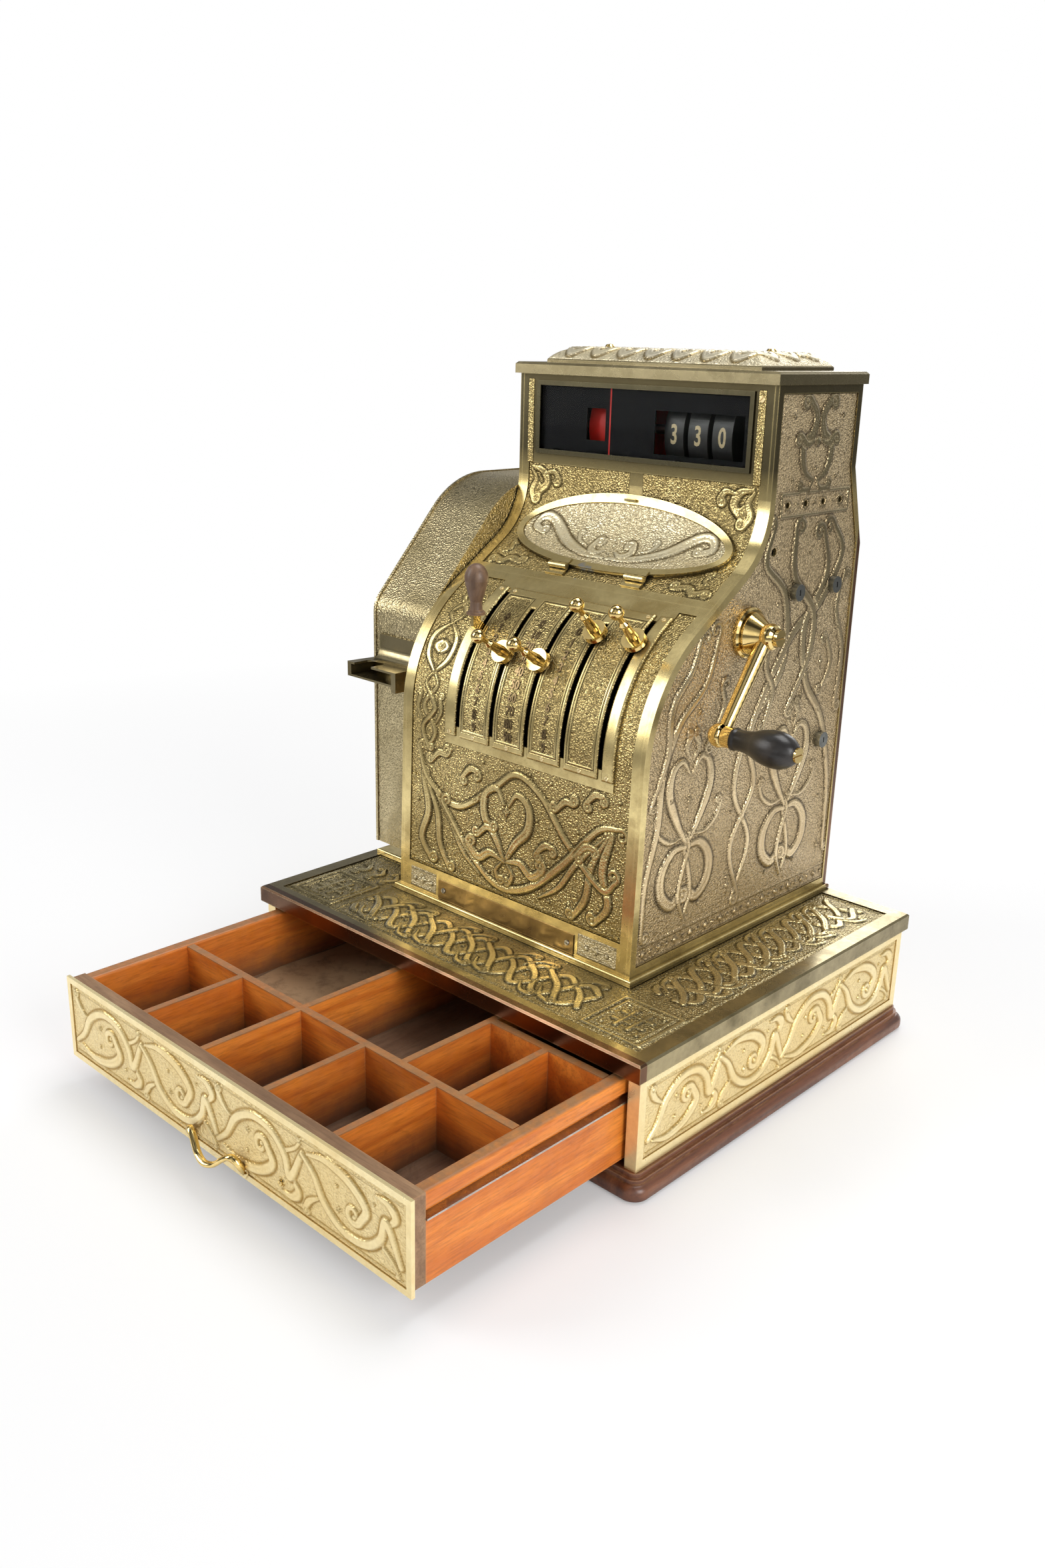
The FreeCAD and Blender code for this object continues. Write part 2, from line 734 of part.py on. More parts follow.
def front_y(height, inset):
    """The front line of the cabinet below the nose, at a height."""
    lean = "(nose_y - nose_radius - foot_front) / (nose_above - foot_height)"
    return f"(foot_front + {inset} + ({height} - {FLOOR}) * {lean})"


def on_nose(angle, inset):
    """A point of the nose, by its angle from upright towards the front."""
    return (f"nose_y - (nose_radius - ({inset})) * sin({angle})",
            f"{NOSE_Z} + (nose_radius - ({inset})) * cos({angle})")


def seam(inset, run="seam_run"):
    """A point of the ramp at a distance from its lower end."""
    y, z = on_nose("ramp_angle", inset)
    return (f"{y} + ({run}) * cos(ramp_angle)", f"{z} + ({run}) * sin(ramp_angle)")


def nose_line(low, inset, top_angle):
    """The front from a low height up to an angle on the nose."""
    tip = (f"nose_y - nose_radius + {inset}", NOSE_Z, f"nose_radius - ({inset})", -1)
    return [(front_y(low, inset), low), tip, on_nose(top_angle, inset)]


def upper_line(inset, high=CABINET_TOP):
    """From the end of the ramp through the cove to a height on the upright front."""
    arc_start = (f"upper_front_y - cove_radius + (cove_radius + {inset}) * sin(ramp_angle)",
                 f"{COVE_Z} - (cove_radius + {inset}) * cos(ramp_angle)",
                 f"cove_radius + {inset}", 1)
    return [arc_start, (f"upper_front_y + {inset}", COVE_Z), (f"upper_front_y + {inset}", high)]


def back_line(inset, low=FLOOR, high=CABINET_TOP):
    """Down the back."""
    return [(f"upper_back_y - ({inset})", high), (f"upper_back_y - ({inset})", above("(cabinet_height - step_drop)")),
            (f"back_y - ({inset})", above("step_low")), (f"back_y - ({inset})", low)]


def reverse(chain):
    """The same line walked the other way."""
    walked = []
    for here in range(len(chain) - 1, -1, -1):
        arc = chain[here - 1][2:] if here > 0 else ()
        walked.append(chain[here][:2] + ((arc[0], -arc[1]) if arc else ()))
    return walked


def shell(line, outer, inner):
    """A sheet between two insets of one line."""
    return line(outer) + reverse(line(inner))


# ---------------------------------------------------------------- cabinet foot, sides and back

foot = solid("cabinet_foot")
pad(foot, "XY", TOP, FLOOR,
    [(f"-{FOOT_X}", FOOT_Y), (FOOT_X, FOOT_Y), (FOOT_X, "back_y"), (f"-{FOOT_X}", "back_y"),
     (f"-{FOOT_X}", "printer_back"), ("-pad_left", "printer_back"), ("-pad_left", "pad_front"),
     (f"-{FOOT_X}", "pad_front")])
soften(foot, "foot_height * 0.4", level(FLOOR))
pocket(foot, "XY", TOP, FLOOR, rectangle("-half_width + 30", "foot_front + 25",
                                         "half_width - 30", "bell_y - 60"))

SIDE_IN = "(half_width - side_casting)"
LOCKS = ((98.0, 297.3), (156.5, 298.0), (159.0, 156.1))
LOCK_PLACES = [(y, above(z)) for y, z in LOCKS]
BAND_HOLES = (76.0, 103.0, 130.0, 157.0)


def side_panel(name, sign):
    """A cast side with a sunk field inside a raised rim."""
    body = solid(name)
    span = [f"{sign} * {SIDE_IN}", f"{sign} * half_width"]
    low, high = span if sign > 0 else span[::-1]
    face = nose_line(FLOOR, "0", "ramp_angle") + upper_line("0") + back_line("0")
    pad(body, "YZ", low, high, face)
    field = [f"{sign} * (half_width - relief_depth)", f"{sign} * half_width"]
    near, far = field if sign > 0 else field[::-1]
    rim_low = f"({FLOOR} + side_rim)"
    rim_high = f"({CABINET_TOP} - side_rim)"
    sunk = (nose_line(rim_low, "side_rim", "ramp_angle") + upper_line("side_rim", rim_high)
            + back_line("side_rim", rim_low, rim_high))
    pocket(body, "YZ", near, far, sunk)
    return body, low, high


right, low, high = side_panel("side_panel_right", 1)
holes = [("circle", y, z, "lock_barrel + shaft_clearance") for y, z in LOCK_PLACES]
holes += [("circle", f"{y}", above("(cabinet_height - band_drop)"), "band_hole") for y in BAND_HOLES]
holes.append(("circle", "vent_y", above("(cabinet_height - vent_drop)"), "vent_radius"))
holes.append(("circle", "crank_y", above("crank_above"), "crank_shaft + 2 * shaft_clearance"))
pocket(right, "YZ", low, high, *holes)
side_panel("side_panel_left", -1)

back = solid("back_panel")
pad(back, "YZ", f"-{SIDE_IN}", SIDE_IN, shell(back_line, "0", "casting"))


def straight_line(low, high):
    """The front below the nose, between two heights."""
    def line(inset):
        return [(front_y(low, inset), low), (front_y(high, inset), high)]
    return line


# ---------------------------------------------------------------- lower front and the quadrant

def lower_line(inset):
    return nose_line(FLOOR, inset, "ramp_angle") + [seam(inset)]


def nose_field(low, top_angle):
    """The front from a height up to an angle on the nose."""
    def line(inset):
        return nose_line(low, inset, top_angle)
    return line


def ramp_field(low, run):
    """The front from a height over the nose to a distance up the ramp."""
    def line(inset):
        return nose_line(low, inset, "ramp_angle") + [seam(inset, run)]
    return line


SLOT = [f"(middle_slot_x + {step} * slot_pitch)" for step in (-2, -1, 0, 1, 2)]
STRIP_LEFT = f"({SLOT[0]} - strip_left)"
STRIP_RIGHT = f"({SLOT[4]} + strip_right)"
SCALE_LOW = above("scale_bottom")
FIELD_X = f"({SIDE_IN} - casing_rim)"
FIELD_LOW = above("(serial_high + casing_rim)")
FIELD_HIGH = above("(scale_bottom - casing_rim)")

lower = solid("lower_front")
pad(lower, "YZ", f"-{SIDE_IN}", SIDE_IN, shell(lower_line, "0", "casting"))
pocket(lower, "YZ", f"{STRIP_LEFT} + slot_margin", f"{STRIP_RIGHT} - slot_margin",
       shell(ramp_field(above("quadrant_bottom"), "quadrant_run"), "-3", "2 * casting"))
pocket(lower, "YZ", f"-{FIELD_X}", FIELD_X,
       shell(straight_line(FIELD_LOW, FIELD_HIGH), "-1", "relief_depth"))
pocket(lower, "YZ", f"-{FIELD_X}", STRIP_LEFT,
       shell(ramp_field(FIELD_HIGH, "cheek_run"), "-1", "relief_depth"))
pocket(lower, "YZ", STRIP_RIGHT, FIELD_X,
       shell(ramp_field(FIELD_HIGH, "cheek_run"), "-1", "relief_depth"))


def scale_plate(name, left, right, slot=None):
    """A curved plate that lies on the nose, with an open slot if one runs through it."""
    body = solid(name)
    pad(body, "YZ", left, right,
        shell(ramp_field(SCALE_LOW, "scale_run"), "-scale_sheet", "-scale_gap"))
    if slot:
        pocket(body, "YZ", f"{slot} - slot_width / 2", f"{slot} + slot_width / 2",
               shell(nose_field(f"({SCALE_LOW} - 1)", "inner_slot_top"), "-2 * scale_sheet", "1"))
    return body


scales = [scale_plate("left_strip", STRIP_LEFT, f"{SLOT[0]} - slot_width / 2"),
          scale_plate("left_scale", f"{SLOT[0]} + slot_width / 2", f"{SLOT[2]} - slot_width / 2",
                      SLOT[1]),
          scale_plate("right_scale", f"{SLOT[2]} + slot_width / 2", f"{SLOT[4]} - slot_width / 2",
                      SLOT[3]),
          scale_plate("right_strip", f"{SLOT[4]} + slot_width / 2", STRIP_RIGHT)]
group("scale_plates", scales)

serial = solid("serial_plate")
pad(serial, "YZ", "-serial_half - 4", "serial_half - 4",
    shell(straight_line(above("serial_low"), above("serial_high")), "-serial_sheet", "0"))


# ---------------------------------------------------------------- upper front, window and oval door

def upper_front_line(inset):
    return [seam(inset)] + upper_line(inset)


DOOR_LOW_Z = (f"({NOSE_Z} + nose_radius * cos(ramp_angle)"
              f" + (door_low_y - {RAMP_START_Y}) * tan(ramp_angle))")
DOOR_HIGH_Z = above("door_high_above")
CHORD = f"atan(({DOOR_HIGH_Z} - {DOOR_LOW_Z}) / (door_high_y - door_low_y))"
CHORD_HALF = f"((door_high_y - door_low_y) / cos({CHORD}) / 2)"


def oval(name, grow):
    """An oval prism square to the line between the lower and upper edge of the door."""
    ellipse = add("Part::Ellipse", name + "_edge", x="0", y="(door_low_y + door_high_y) / 2",
                  z=f"({DOOR_LOW_Z} + {DOOR_HIGH_Z}) / 2", MajorRadius=f"door_half_width + {grow}",
                  MinorRadius=f"{CHORD_HALF} + {grow}")
    turned_about(ellipse, (1, 0, 0), CHORD)
    item = doc.addObject("Part::Extrusion", name)
    item.Base, item.DirMode, item.Solid = ellipse, "Normal", True
    item.LengthFwd, item.LengthRev, item.Label = 12, 26, name
    return item


def door_sheet(name, outer, inner):
    """A sheet that follows the ramp and the cove."""
    def line(inset):
        return [seam(inset, "4")] + upper_line(inset, above(f"({WINDOW_LOW} - 8)"))
    return prism(name, "YZ", "-door_half_width - 6", "door_half_width + 6", shell(line, outer, inner))


OPEN_X = "(window_half + window_frame_rim - window_rest)"
OPEN_LOW = above(f"({WINDOW_LOW} - window_frame_rim + window_rest)")
OPEN_HIGH = above(f"({WINDOW_HIGH} + window_frame_rim - window_rest)")
FRONT_Y = "upper_front_y"
casing = solid("upper_casing")
pad(casing, "YZ", f"-{SIDE_IN}", SIDE_IN, shell(upper_front_line, "0", "casting"))
pocket(casing, "XZ", f"{FRONT_Y} - 1", f"{FRONT_Y} + casting + 1",
       rectangle(f"-{OPEN_X}", OPEN_LOW, OPEN_X, OPEN_HIGH))


def upper_field(inset):
    return [seam(inset, "seam_run + casing_rim")] + upper_line(inset, above(f"({WINDOW_LOW} - 13)"))


pocket(casing, "YZ", f"-{FIELD_X}", FIELD_X, shell(upper_field, "-1", "relief_depth"))
recess = common("door_recess", oval("door_recess_oval", "door_gap"),
                door_sheet("door_recess_sheet", "-6", "door_sink + door_seat"))
holed = cut("upper_casing_recessed", casing, recess)
cut("upper_front", holed, oval("door_opening_oval", "-door_opening_rim"))

window = prism("window_frame", "XZ", f"{FRONT_Y} - window_proud", FRONT_Y,
               rectangle("-window_half - window_frame_rim", above(f"({WINDOW_LOW} - window_frame_rim)"),
                         "window_half + window_frame_rim", above(f"({WINDOW_HIGH} + window_frame_rim)")),
               rectangle("-window_half", above(WINDOW_LOW), "window_half", above(WINDOW_HIGH)))
block("window_glass", (f"-{OPEN_X} + running_gap", FRONT_Y, f"{OPEN_LOW} + running_gap"),
      (f"{OPEN_X} - running_gap", f"{FRONT_Y} + glass", f"{OPEN_HIGH} - running_gap"))
MASK_Y = "(upper_front_y + casting)"
FLAG_LOW = f"({WINDOW_LOW} + flag_lift)"
DIGIT_LOW = f"({WINDOW_LOW} + digit_lift)"
prism("indicator_mask", "XZ", MASK_Y, f"{MASK_Y} + mask",
      rectangle(f"-{OPEN_X} - 5", f"{OPEN_LOW} - 4", f"{OPEN_X} + 5", f"{OPEN_HIGH} + 4"),
      rectangle("flag_left", above(FLAG_LOW), "flag_right", above(f"({FLAG_LOW} + flag_height)")),
      rectangle("digit_left", above(DIGIT_LOW), "digit_right",
                above(f"({DIGIT_LOW} + digit_height)")))

# hinges, each built about its pin: Y runs up the ramp and Z away from it
PIN_Y = "(door_low_y - hinge_down * cos(ramp_angle) - hinge_off * sin(ramp_angle))"
PIN_Z = f"({DOOR_LOW_Z} - hinge_down * sin(ramp_angle) + hinge_off * cos(ramp_angle))"
KNUCKLE = "((hinge_width - 4 * knuckle_gap) / 5)"
KNUCKLE_LOOP = ("circle", "0", "0", "knuckle_radius")


def knuckle_span(number):
    start = f"(-hinge_width / 2 + {number} * ({KNUCKLE} + knuckle_gap))"
    return start, f"({start} + {KNUCKLE})"


def at_hinge(body, side):
    turned_about(body, (1, 0, 0), "ramp_angle")
    return tie(body, x=f"hinge_shift + {side} * hinge_x", y=PIN_Y, z=PIN_Z)


def hinge(name, side):
    """The half of a hinge that stays on the casing, with the pin."""
    body = solid(name)
    reach = "(knuckle_radius + knuckle_gap)"
    pad(body, "YZ", "-hinge_width / 2", "hinge_width / 2",
        rectangle(f"-hinge_leaf_run - {reach}", "-hinge_off - relief_depth", f"-{reach}",
                  "-hinge_off + hinge_leaf"))
    for number in (0, 2, 4):
        low, high = knuckle_span(number)
        pad(body, "YZ", low, high, rectangle(f"-{reach} - 1", "-hinge_off", "0",
                                             "-hinge_off + hinge_leaf"))
        pad(body, "YZ", low, high, KNUCKLE_LOOP)
    pad(body, "YZ", "-hinge_width / 2", "hinge_width / 2", ("circle", "0", "0", "hinge_pin"))
    return at_hinge(body, side)


def door_half(name, side):
    """The half of a hinge that swings with the door."""
    body = solid(name)
    reach = "(knuckle_radius + knuckle_gap)"
    pad(body, "YZ", "-hinge_width / 2", "hinge_width / 2",
        rectangle(reach, "-0.4", f"hinge_leaf_run + {reach}", "hinge_leaf"))
    for number in (1, 3):
        low, high = knuckle_span(number)
        pad(body, "YZ", low, high, rectangle("0", "0", f"{reach} + 1", "hinge_leaf"))
        pad(body, "YZ", low, high, KNUCKLE_LOOP)
        pocket(body, "YZ", low, high, ("circle", "0", "0", "hinge_pin + hinge_clearance"))
    return at_hinge(body, side)


group("door_hinges", [hinge("hinge_left", -1), hinge("hinge_right", 1)])
OUTSIDE = "(door_sheet - door_sink)"
leaf = common("door_leaf", oval("door_oval", "0"),
              door_sheet("door_leaf_sheet", f"-{OUTSIDE}", "door_sink"))
ring = cut("door_ring", oval("door_ring_outer", "0"), oval("door_ring_inner", "-door_rim"))
rim = common("door_rim_piece", ring,
             door_sheet("door_rim_sheet", f"-{OUTSIDE} - door_rim_proud", f"-{OUTSIDE} + 0.5"))
tab = block("door_tab", ("-6", f"door_high_y - {OUTSIDE} - 5", f"{DOOR_HIGH_Z} - 3"),
            ("6", f"door_high_y - {OUTSIDE} + 1", f"{DOOR_HIGH_Z} - 1"))
joined("oval_door", [leaf, rim, door_half("door_half_left", -1), door_half("door_half_right", 1),
                     tab])


# ---------------------------------------------------------------- cornice and dome

cornice = solid("cornice")
CORNICE_TOP = f"({CABINET_TOP} + cornice_height)"
CORNICE_X = "(half_width + cornice_overhang)"
CORNICE_FRONT = "(upper_front_y - cornice_front_out)"
CORNICE_BACK = "(upper_back_y + cornice_back_out)"
pad(cornice, "XY", CABINET_TOP, CORNICE_TOP,
    rectangle(f"-{CORNICE_X}", CORNICE_FRONT, CORNICE_X, CORNICE_BACK))
soften(cornice, "cornice_bevel", level(CORNICE_TOP), "PartDesign::Chamfer")
pocket(cornice, "XY", CABINET_TOP, CORNICE_TOP,
       rectangle("-cornice_opening_x", f"{CORNICE_FRONT} + cornice_opening_rim",
                 "cornice_opening_x", f"{CORNICE_BACK} - cornice_opening_rim"))

DOME_RISE = "(dome_height - dome_edge)"
DOME_ARC = f"((dome_run ^ 2 + {DOME_RISE} ^ 2) / (2 * {DOME_RISE}))"


def dome_loop(low_side, high_side, inset):
    """A flat top that falls away to both sides in an arc."""
    edge = f"({CORNICE_TOP} + dome_edge - {inset})"
    crown = f"({CORNICE_TOP} + dome_height - {inset})"
    arc = f"({DOME_ARC})"
    return [(f"{low_side} + {inset}", CORNICE_TOP), (f"{high_side} - {inset}", CORNICE_TOP),
            (f"{high_side} - {inset}", edge, arc, 1), (f"{high_side} - {inset} - dome_run", crown),
            (f"{low_side} + {inset} + dome_run", crown, arc, 1), (f"{low_side} + {inset}", edge)]


def dome_block(name, inset):
    front_edge = f"({CORNICE_FRONT} + dome_inset)"
    rear_edge = f"({CORNICE_BACK} - dome_inset)"
    along = prism(name + "_along", "XZ", front_edge, rear_edge,
                  dome_loop("-dome_half_width", "dome_half_width", inset))
    across = prism(name + "_across", "YZ", "-dome_half_width", "dome_half_width",
                   dome_loop(front_edge, rear_edge, inset))
    return common(name, along, across)


cut("top_dome", dome_block("dome_outer", "0"), dome_block("dome_inner", "dome_wall"))


# ---------------------------------------------------------------- frames, shafts and guides inside

FRAME_HIGH = "(cabinet_height - 10.5)"
FRAME = (("-60", "foot_height"), ("170", "foot_height"), ("170", "320"), ("150", "350"),
         ("150", FRAME_HIGH), ("66", FRAME_HIGH), ("66", "345"), ("0", "285"), ("-60", "240"))
WHEEL_Z = above(WHEEL_ABOVE)
LEVER_CENTRE = ("circle", "nose_y", NOSE_Z, "lever_shaft")
WHEEL_CENTRE = ("circle", "wheel_y", WHEEL_Z, "indicator_shaft")
CRANK_HOLE = ("circle", "crank_y", above("crank_above"), "crank_shaft + shaft_clearance")
frame_loop = [(y, above(z)) for y, z in FRAME]
frame_right = prism("frame_right", "YZ", "frame_x", "frame_x + frame_sheet",
                    frame_loop, LEVER_CENTRE, WHEEL_CENTRE, CRANK_HOLE)
frame_left = prism("frame_left", "YZ", "-frame_x - frame_sheet", "-frame_x",
                   frame_loop, LEVER_CENTRE, WHEEL_CENTRE, CRANK_HOLE)
group("side_frames", [frame_left, frame_right])

FRAME_OUT = "(frame_x + frame_sheet)"
PITCH = "(pi * tooth_module)"
PINION = "(tooth_module * pinion_teeth / 2)"
SECTOR = "(tooth_module * sector_teeth / 2)"
RACK_LINE = f"(nose_y + {SECTOR})"
TIP = "(tooth_top * tooth_module)"
ROOT = "(tooth_root * tooth_module)"
HALF = f"(tooth_share * {PITCH} / 2)"
HALF_TIP = f"({HALF} - {TIP} * tan(20))"
HALF_ROOT = f"({HALF} + {ROOT} * tan(20))"
LOW_RACK_BACK = f"({RACK_LINE} + {ROOT} + rack_depth)"
HIGH_RACK_FRONT = f"({RACK_LINE} - {ROOT} - rack_depth)"
WHEEL_X = [f"(middle_wheel_x + {step} * wheel_pitch)" for step in (-1, 0, 1)]
PINION_X = [f"({x} + wheel_width / 2 + rack_bridge_gap * 0.25 + tooth_width / 2)" for x in WHEEL_X]


def guide(name, y_low, y_high, z_low, z_high, places, slot_front, slot_back):
    """A bar between the frames with a slot for each rack."""
    body = solid(name)
    pad(body, "XY", above(z_low), above(z_high),
        rectangle("-frame_x", y_low, "frame_x", y_high))
    slots = []
    for x in places:
        half = "(tooth_width / 2 + guide_gap)"
        slots.append(rectangle(f"{x} - {half}", slot_front, f"{x} + {half}", slot_back))
    pocket(body, "XY", above(z_low), above(z_high), *slots)
    return body


lever_bar = rod("lever_shaft_bar", "lever_shaft", (f"-{FRAME_OUT}", "nose_y", NOSE_Z),
                f"2 * {FRAME_OUT}", "x")
wheel_bar = rod("indicator_bar", "indicator_shaft", (f"-{FRAME_OUT}", "wheel_y", WHEEL_Z),
                f"2 * {FRAME_OUT}", "x")
low_guide = guide("low_guide", f"{RACK_LINE} + {ROOT} + 1", f"{LOW_RACK_BACK} + 8", "160", "190",
                  SLOT[:4], f"{RACK_LINE} + {ROOT}", f"{LOW_RACK_BACK} + guide_gap")
high_guide = guide("high_guide", f"{HIGH_RACK_FRONT} - 8", f"{RACK_LINE} - {ROOT} - 1", "347",
                   "365", [SLOT[0]] + PINION_X, f"{HIGH_RACK_FRONT} - guide_gap",
                   f"{RACK_LINE} - {ROOT}")
group("cross_shafts", [lever_bar, wheel_bar, low_guide, high_guide])


# ---------------------------------------------------------------- racks

def repeat(kind, body, pad_made, axis, amount, total, count):
    """Repeats the last pad along or about an axis of its sketch."""
    item = body.newObject(kind, body.Name + "_repeat")
    item.Originals = [pad_made]
    setattr(item, axis, (pad_made.Profile[0], ["V_Axis" if axis == "Direction" else "N_Axis"]))
    item.setExpression(amount, bound(total))
    item.Occurrences = count
    body.Tip = item
    return item


def rack_teeth(body, span, zero, numbers, side):
    """Teeth along a rack; side 1 points to the back."""
    root_y, tip_y = f"({RACK_LINE} - {side} * {ROOT} * 1.1)", f"({RACK_LINE} + {side} * {TIP})"
    low = f"{zero} + {numbers[0]} * {PITCH}"
    tooth = pad(body, "YZ", *span,
                [(root_y, f"{low} - {HALF_ROOT}"), (tip_y, f"{low} - {HALF_TIP}"),
                 (tip_y, f"{low} + {HALF_TIP}"), (root_y, f"{low} + {HALF_ROOT}")])
    repeat("PartDesign::LinearPattern", body, tooth, "Direction", "Length",
           f"{len(numbers) - 1} * {PITCH}", len(numbers))


def rack(name, low_x, high_x, plane, risen, numbers):
    """Teeth to the front below, to the back above; a bridge in its own plane joins them."""
    body = solid(name)
    low_span = (f"{low_x} - tooth_width / 2", f"{low_x} + tooth_width / 2")
    high_span = (f"{high_x} - tooth_width / 2", f"{high_x} + tooth_width / 2")
    bridge_low = f"({above('rack_bridge_above')} + {risen})"
    bridge_high = f"({bridge_low} + rack_bridge_height)"
    plane_low = f"({LOW_RACK_BACK} - 2 + {plane} * (rack_bridge + rack_bridge_gap))"
    plane_high = f"({plane_low} + rack_bridge)"
    low_top = f"({bridge_low} - rack_jog)" if plane else bridge_high
    low_end = f"{NOSE_Z} - {1 - numbers[0]} * {PITCH}"
    edge = f"({RACK_LINE} + {ROOT})"
    pad(body, "YZ", *low_span, rectangle(edge, low_end, LOW_RACK_BACK, low_top))
    if plane:
        jog = f"{low_top} - rack_bridge_height"
        pad(body, "YZ", *low_span, rectangle(edge, jog, plane_high, low_top))
        pad(body, "YZ", *low_span, rectangle(plane_low, jog, plane_high, bridge_high))
    pad(body, "XZ", plane_low, plane_high,
        rectangle(low_span[0], bridge_low, high_span[1], bridge_high))
    pad(body, "YZ", *high_span, rectangle(HIGH_RACK_FRONT, bridge_low, plane_high, bridge_high))
    top_z = f"({RACK_TOP} + {risen})"
    pad(body, "YZ", *high_span,
        rectangle(HIGH_RACK_FRONT, bridge_low, f"({RACK_LINE} - {ROOT})", top_z))
    rack_teeth(body, low_span, NOSE_Z, numbers, -1)
    rack_teeth(body, high_span, WHEEL_Z, numbers, 1)
    return body


def risen(digits):
    """How far a rack has risen from nought at a digit."""
    return f"({digits} * digit_step * pi / 180 * {SECTOR})"


rack("rack_sale", SLOT[0], SLOT[0], 0, risen(2), range(-9, 3))
rack("rack_hundreds", SLOT[1], PINION_X[0], 0, risen(3), range(-9, 5))
rack("rack_tens", SLOT[2], PINION_X[1], 1, risen(3), range(-9, 5))
rack("rack_units", SLOT[3], PINION_X[2], 2, risen(0), range(-13, 2))


# ---------------------------------------------------------------- levers

def gear_tooth(body, span, radius, turn):
    """One tooth of a gear about the body's own origin."""
    corners = []
    base = f"({radius} - {ROOT} * 1.1)"
    shapes = ((-1, HALF_ROOT, base), (-1, HALF_TIP, f"({radius} + {TIP})"),
              (1, HALF_TIP, f"({radius} + {TIP})"), (1, HALF_ROOT, base))
    for sign, half, out in shapes:
        angle = f"({turn} + {sign} * {half} / {out} * 180 / pi)"
        corners.append((f"{out} * cos({angle})", f"{out} * sin({angle})"))
    return pad(body, "YZ", *span, corners)


def sector(name, x, below, beyond):
    """A toothed sector about the lever shaft that points to the back."""
    body = solid(name)
    span = ("-tooth_width / 2", "tooth_width / 2")
    root = f"({SECTOR} - {ROOT})"
    first, last = (f"({n} * 360 / sector_teeth)" for n in (-below, beyond))
    pad(body, "YZ", *span,
        [("0", "0"), (f"{root} * cos({first})", f"{root} * sin({first})", root, 1),
         (f"{root} * cos({last})", f"{root} * sin({last})")])
    tooth = gear_tooth(body, span, SECTOR, f"(({0.5 - below}) * 360 / sector_teeth)")
    count = below + beyond
    repeat("PartDesign::PolarPattern", body, tooth, "Axis", "Angle",
           f"{count - 1} * 360 / sector_teeth", count)
    pad(body, "YZ", "-lever_hub_width / 2", "lever_hub_width / 2", ("circle", "0", "0", "lever_hub"))
    pocket(body, "YZ", "-lever_hub_width", "lever_hub_width",
           ("circle", "0", "0", "lever_shaft + shaft_clearance"))
    return tie(body, x=x, y="nose_y", z=NOSE_Z)


def on_arm(angle, out, across):
    """A point along a lever, by its distance from the shaft and across the arm."""
    return (f"nose_y - ({out}) * sin({angle}) + ({across}) * cos({angle})",
            f"{NOSE_Z} + ({out}) * cos({angle}) + ({across}) * sin({angle})")


REACH = "(nose_radius + scale_sheet)"
BOSS = f"({REACH} + knob_gap)"


def lever(name, x, digits, below, beyond):
    """A key lever: knob and arm to the front, toothed sector to the back."""
    angle = f"(lever_zero + {digits} * digit_step)"
    blade = solid(name + "_blade")
    half, tongue = "lever_arm_height / 2", "lever_arm_height / 4"
    span = (f"{x} - lever_arm / 2", f"{x} + lever_arm / 2")
    start = "lever_hub - 2"
    pad(blade, "YZ", *span,
        [on_arm(angle, start, f"-{half}"), on_arm(angle, f"{REACH} - 9", f"-{half}"),
         on_arm(angle, f"{REACH} - 6", f"-{tongue}"), on_arm(angle, f"{BOSS} + 1", f"-{tongue}"),
         on_arm(angle, f"{BOSS} + 1", tongue), on_arm(angle, f"{REACH} - 6", tongue),
         on_arm(angle, f"{REACH} - 9", half), on_arm(angle, start, half)])
    wheel_part = sector(name + "_sector", x, below, beyond)
    disc = f"({BOSS} + shoe_height)"
    stem = f"({disc} + thumb_disc)"
    ball = f"({BOSS} + knob_reach)"
    seat = f"({ball} - sqrt(ball_radius ^ 2 - knob_neck ^ 2))"
    knob = spun(name + "_knob",
                [("0", BOSS), ("shoe_radius - 1", BOSS), ("shoe_radius", f"{BOSS} + 1"),
                 ("shoe_radius - 1", f"{disc} - 0.4"), ("shoe_radius - 1", disc),
                 ("shoe_radius", disc), ("shoe_radius", stem), ("knob_stem", stem),
                 ("knob_waist", f"{stem} + 14"), ("knob_bead", f"{stem} + 15.5"),
                 ("knob_bead", f"{stem} + 17"), ("knob_neck", f"{stem} + 20"),
                 ("knob_neck", seat, "ball_radius", 1), ("0", f"{ball} + ball_radius")],
                x, "nose_y", NOSE_Z, (1, 0, 0), angle)
    return joined(name, [wheel_part, blade, knob])


lever("lever_hundreds", SLOT[1], 3, 10, 6)
lever("lever_tens", SLOT[2], 3, 10, 6)
lever("lever_units", SLOT[3], 0, 14, 2)
lever("lever_parts", SLOT[4], 0, 14, 2)

HALF_ARM = "sale_arm_height / 2"
SALE_Y = f"(nose_y - ({REACH} + sale_arm_out) * sin(sale_angle))"
SALE_Z = f"({NOSE_Z} + ({REACH} + sale_arm_out) * cos(sale_angle) + sale_neck)"


def bend(side):
    """Where one edge of the sale lever turns upright."""
    edge = f"({SALE_Y} + {side} * {HALF_ARM})"
    out = f"((nose_y + {side} * {HALF_ARM} * cos(sale_angle) - {edge}) / sin(sale_angle))"
    return on_arm("sale_angle", out, f"{side} * {HALF_ARM}")


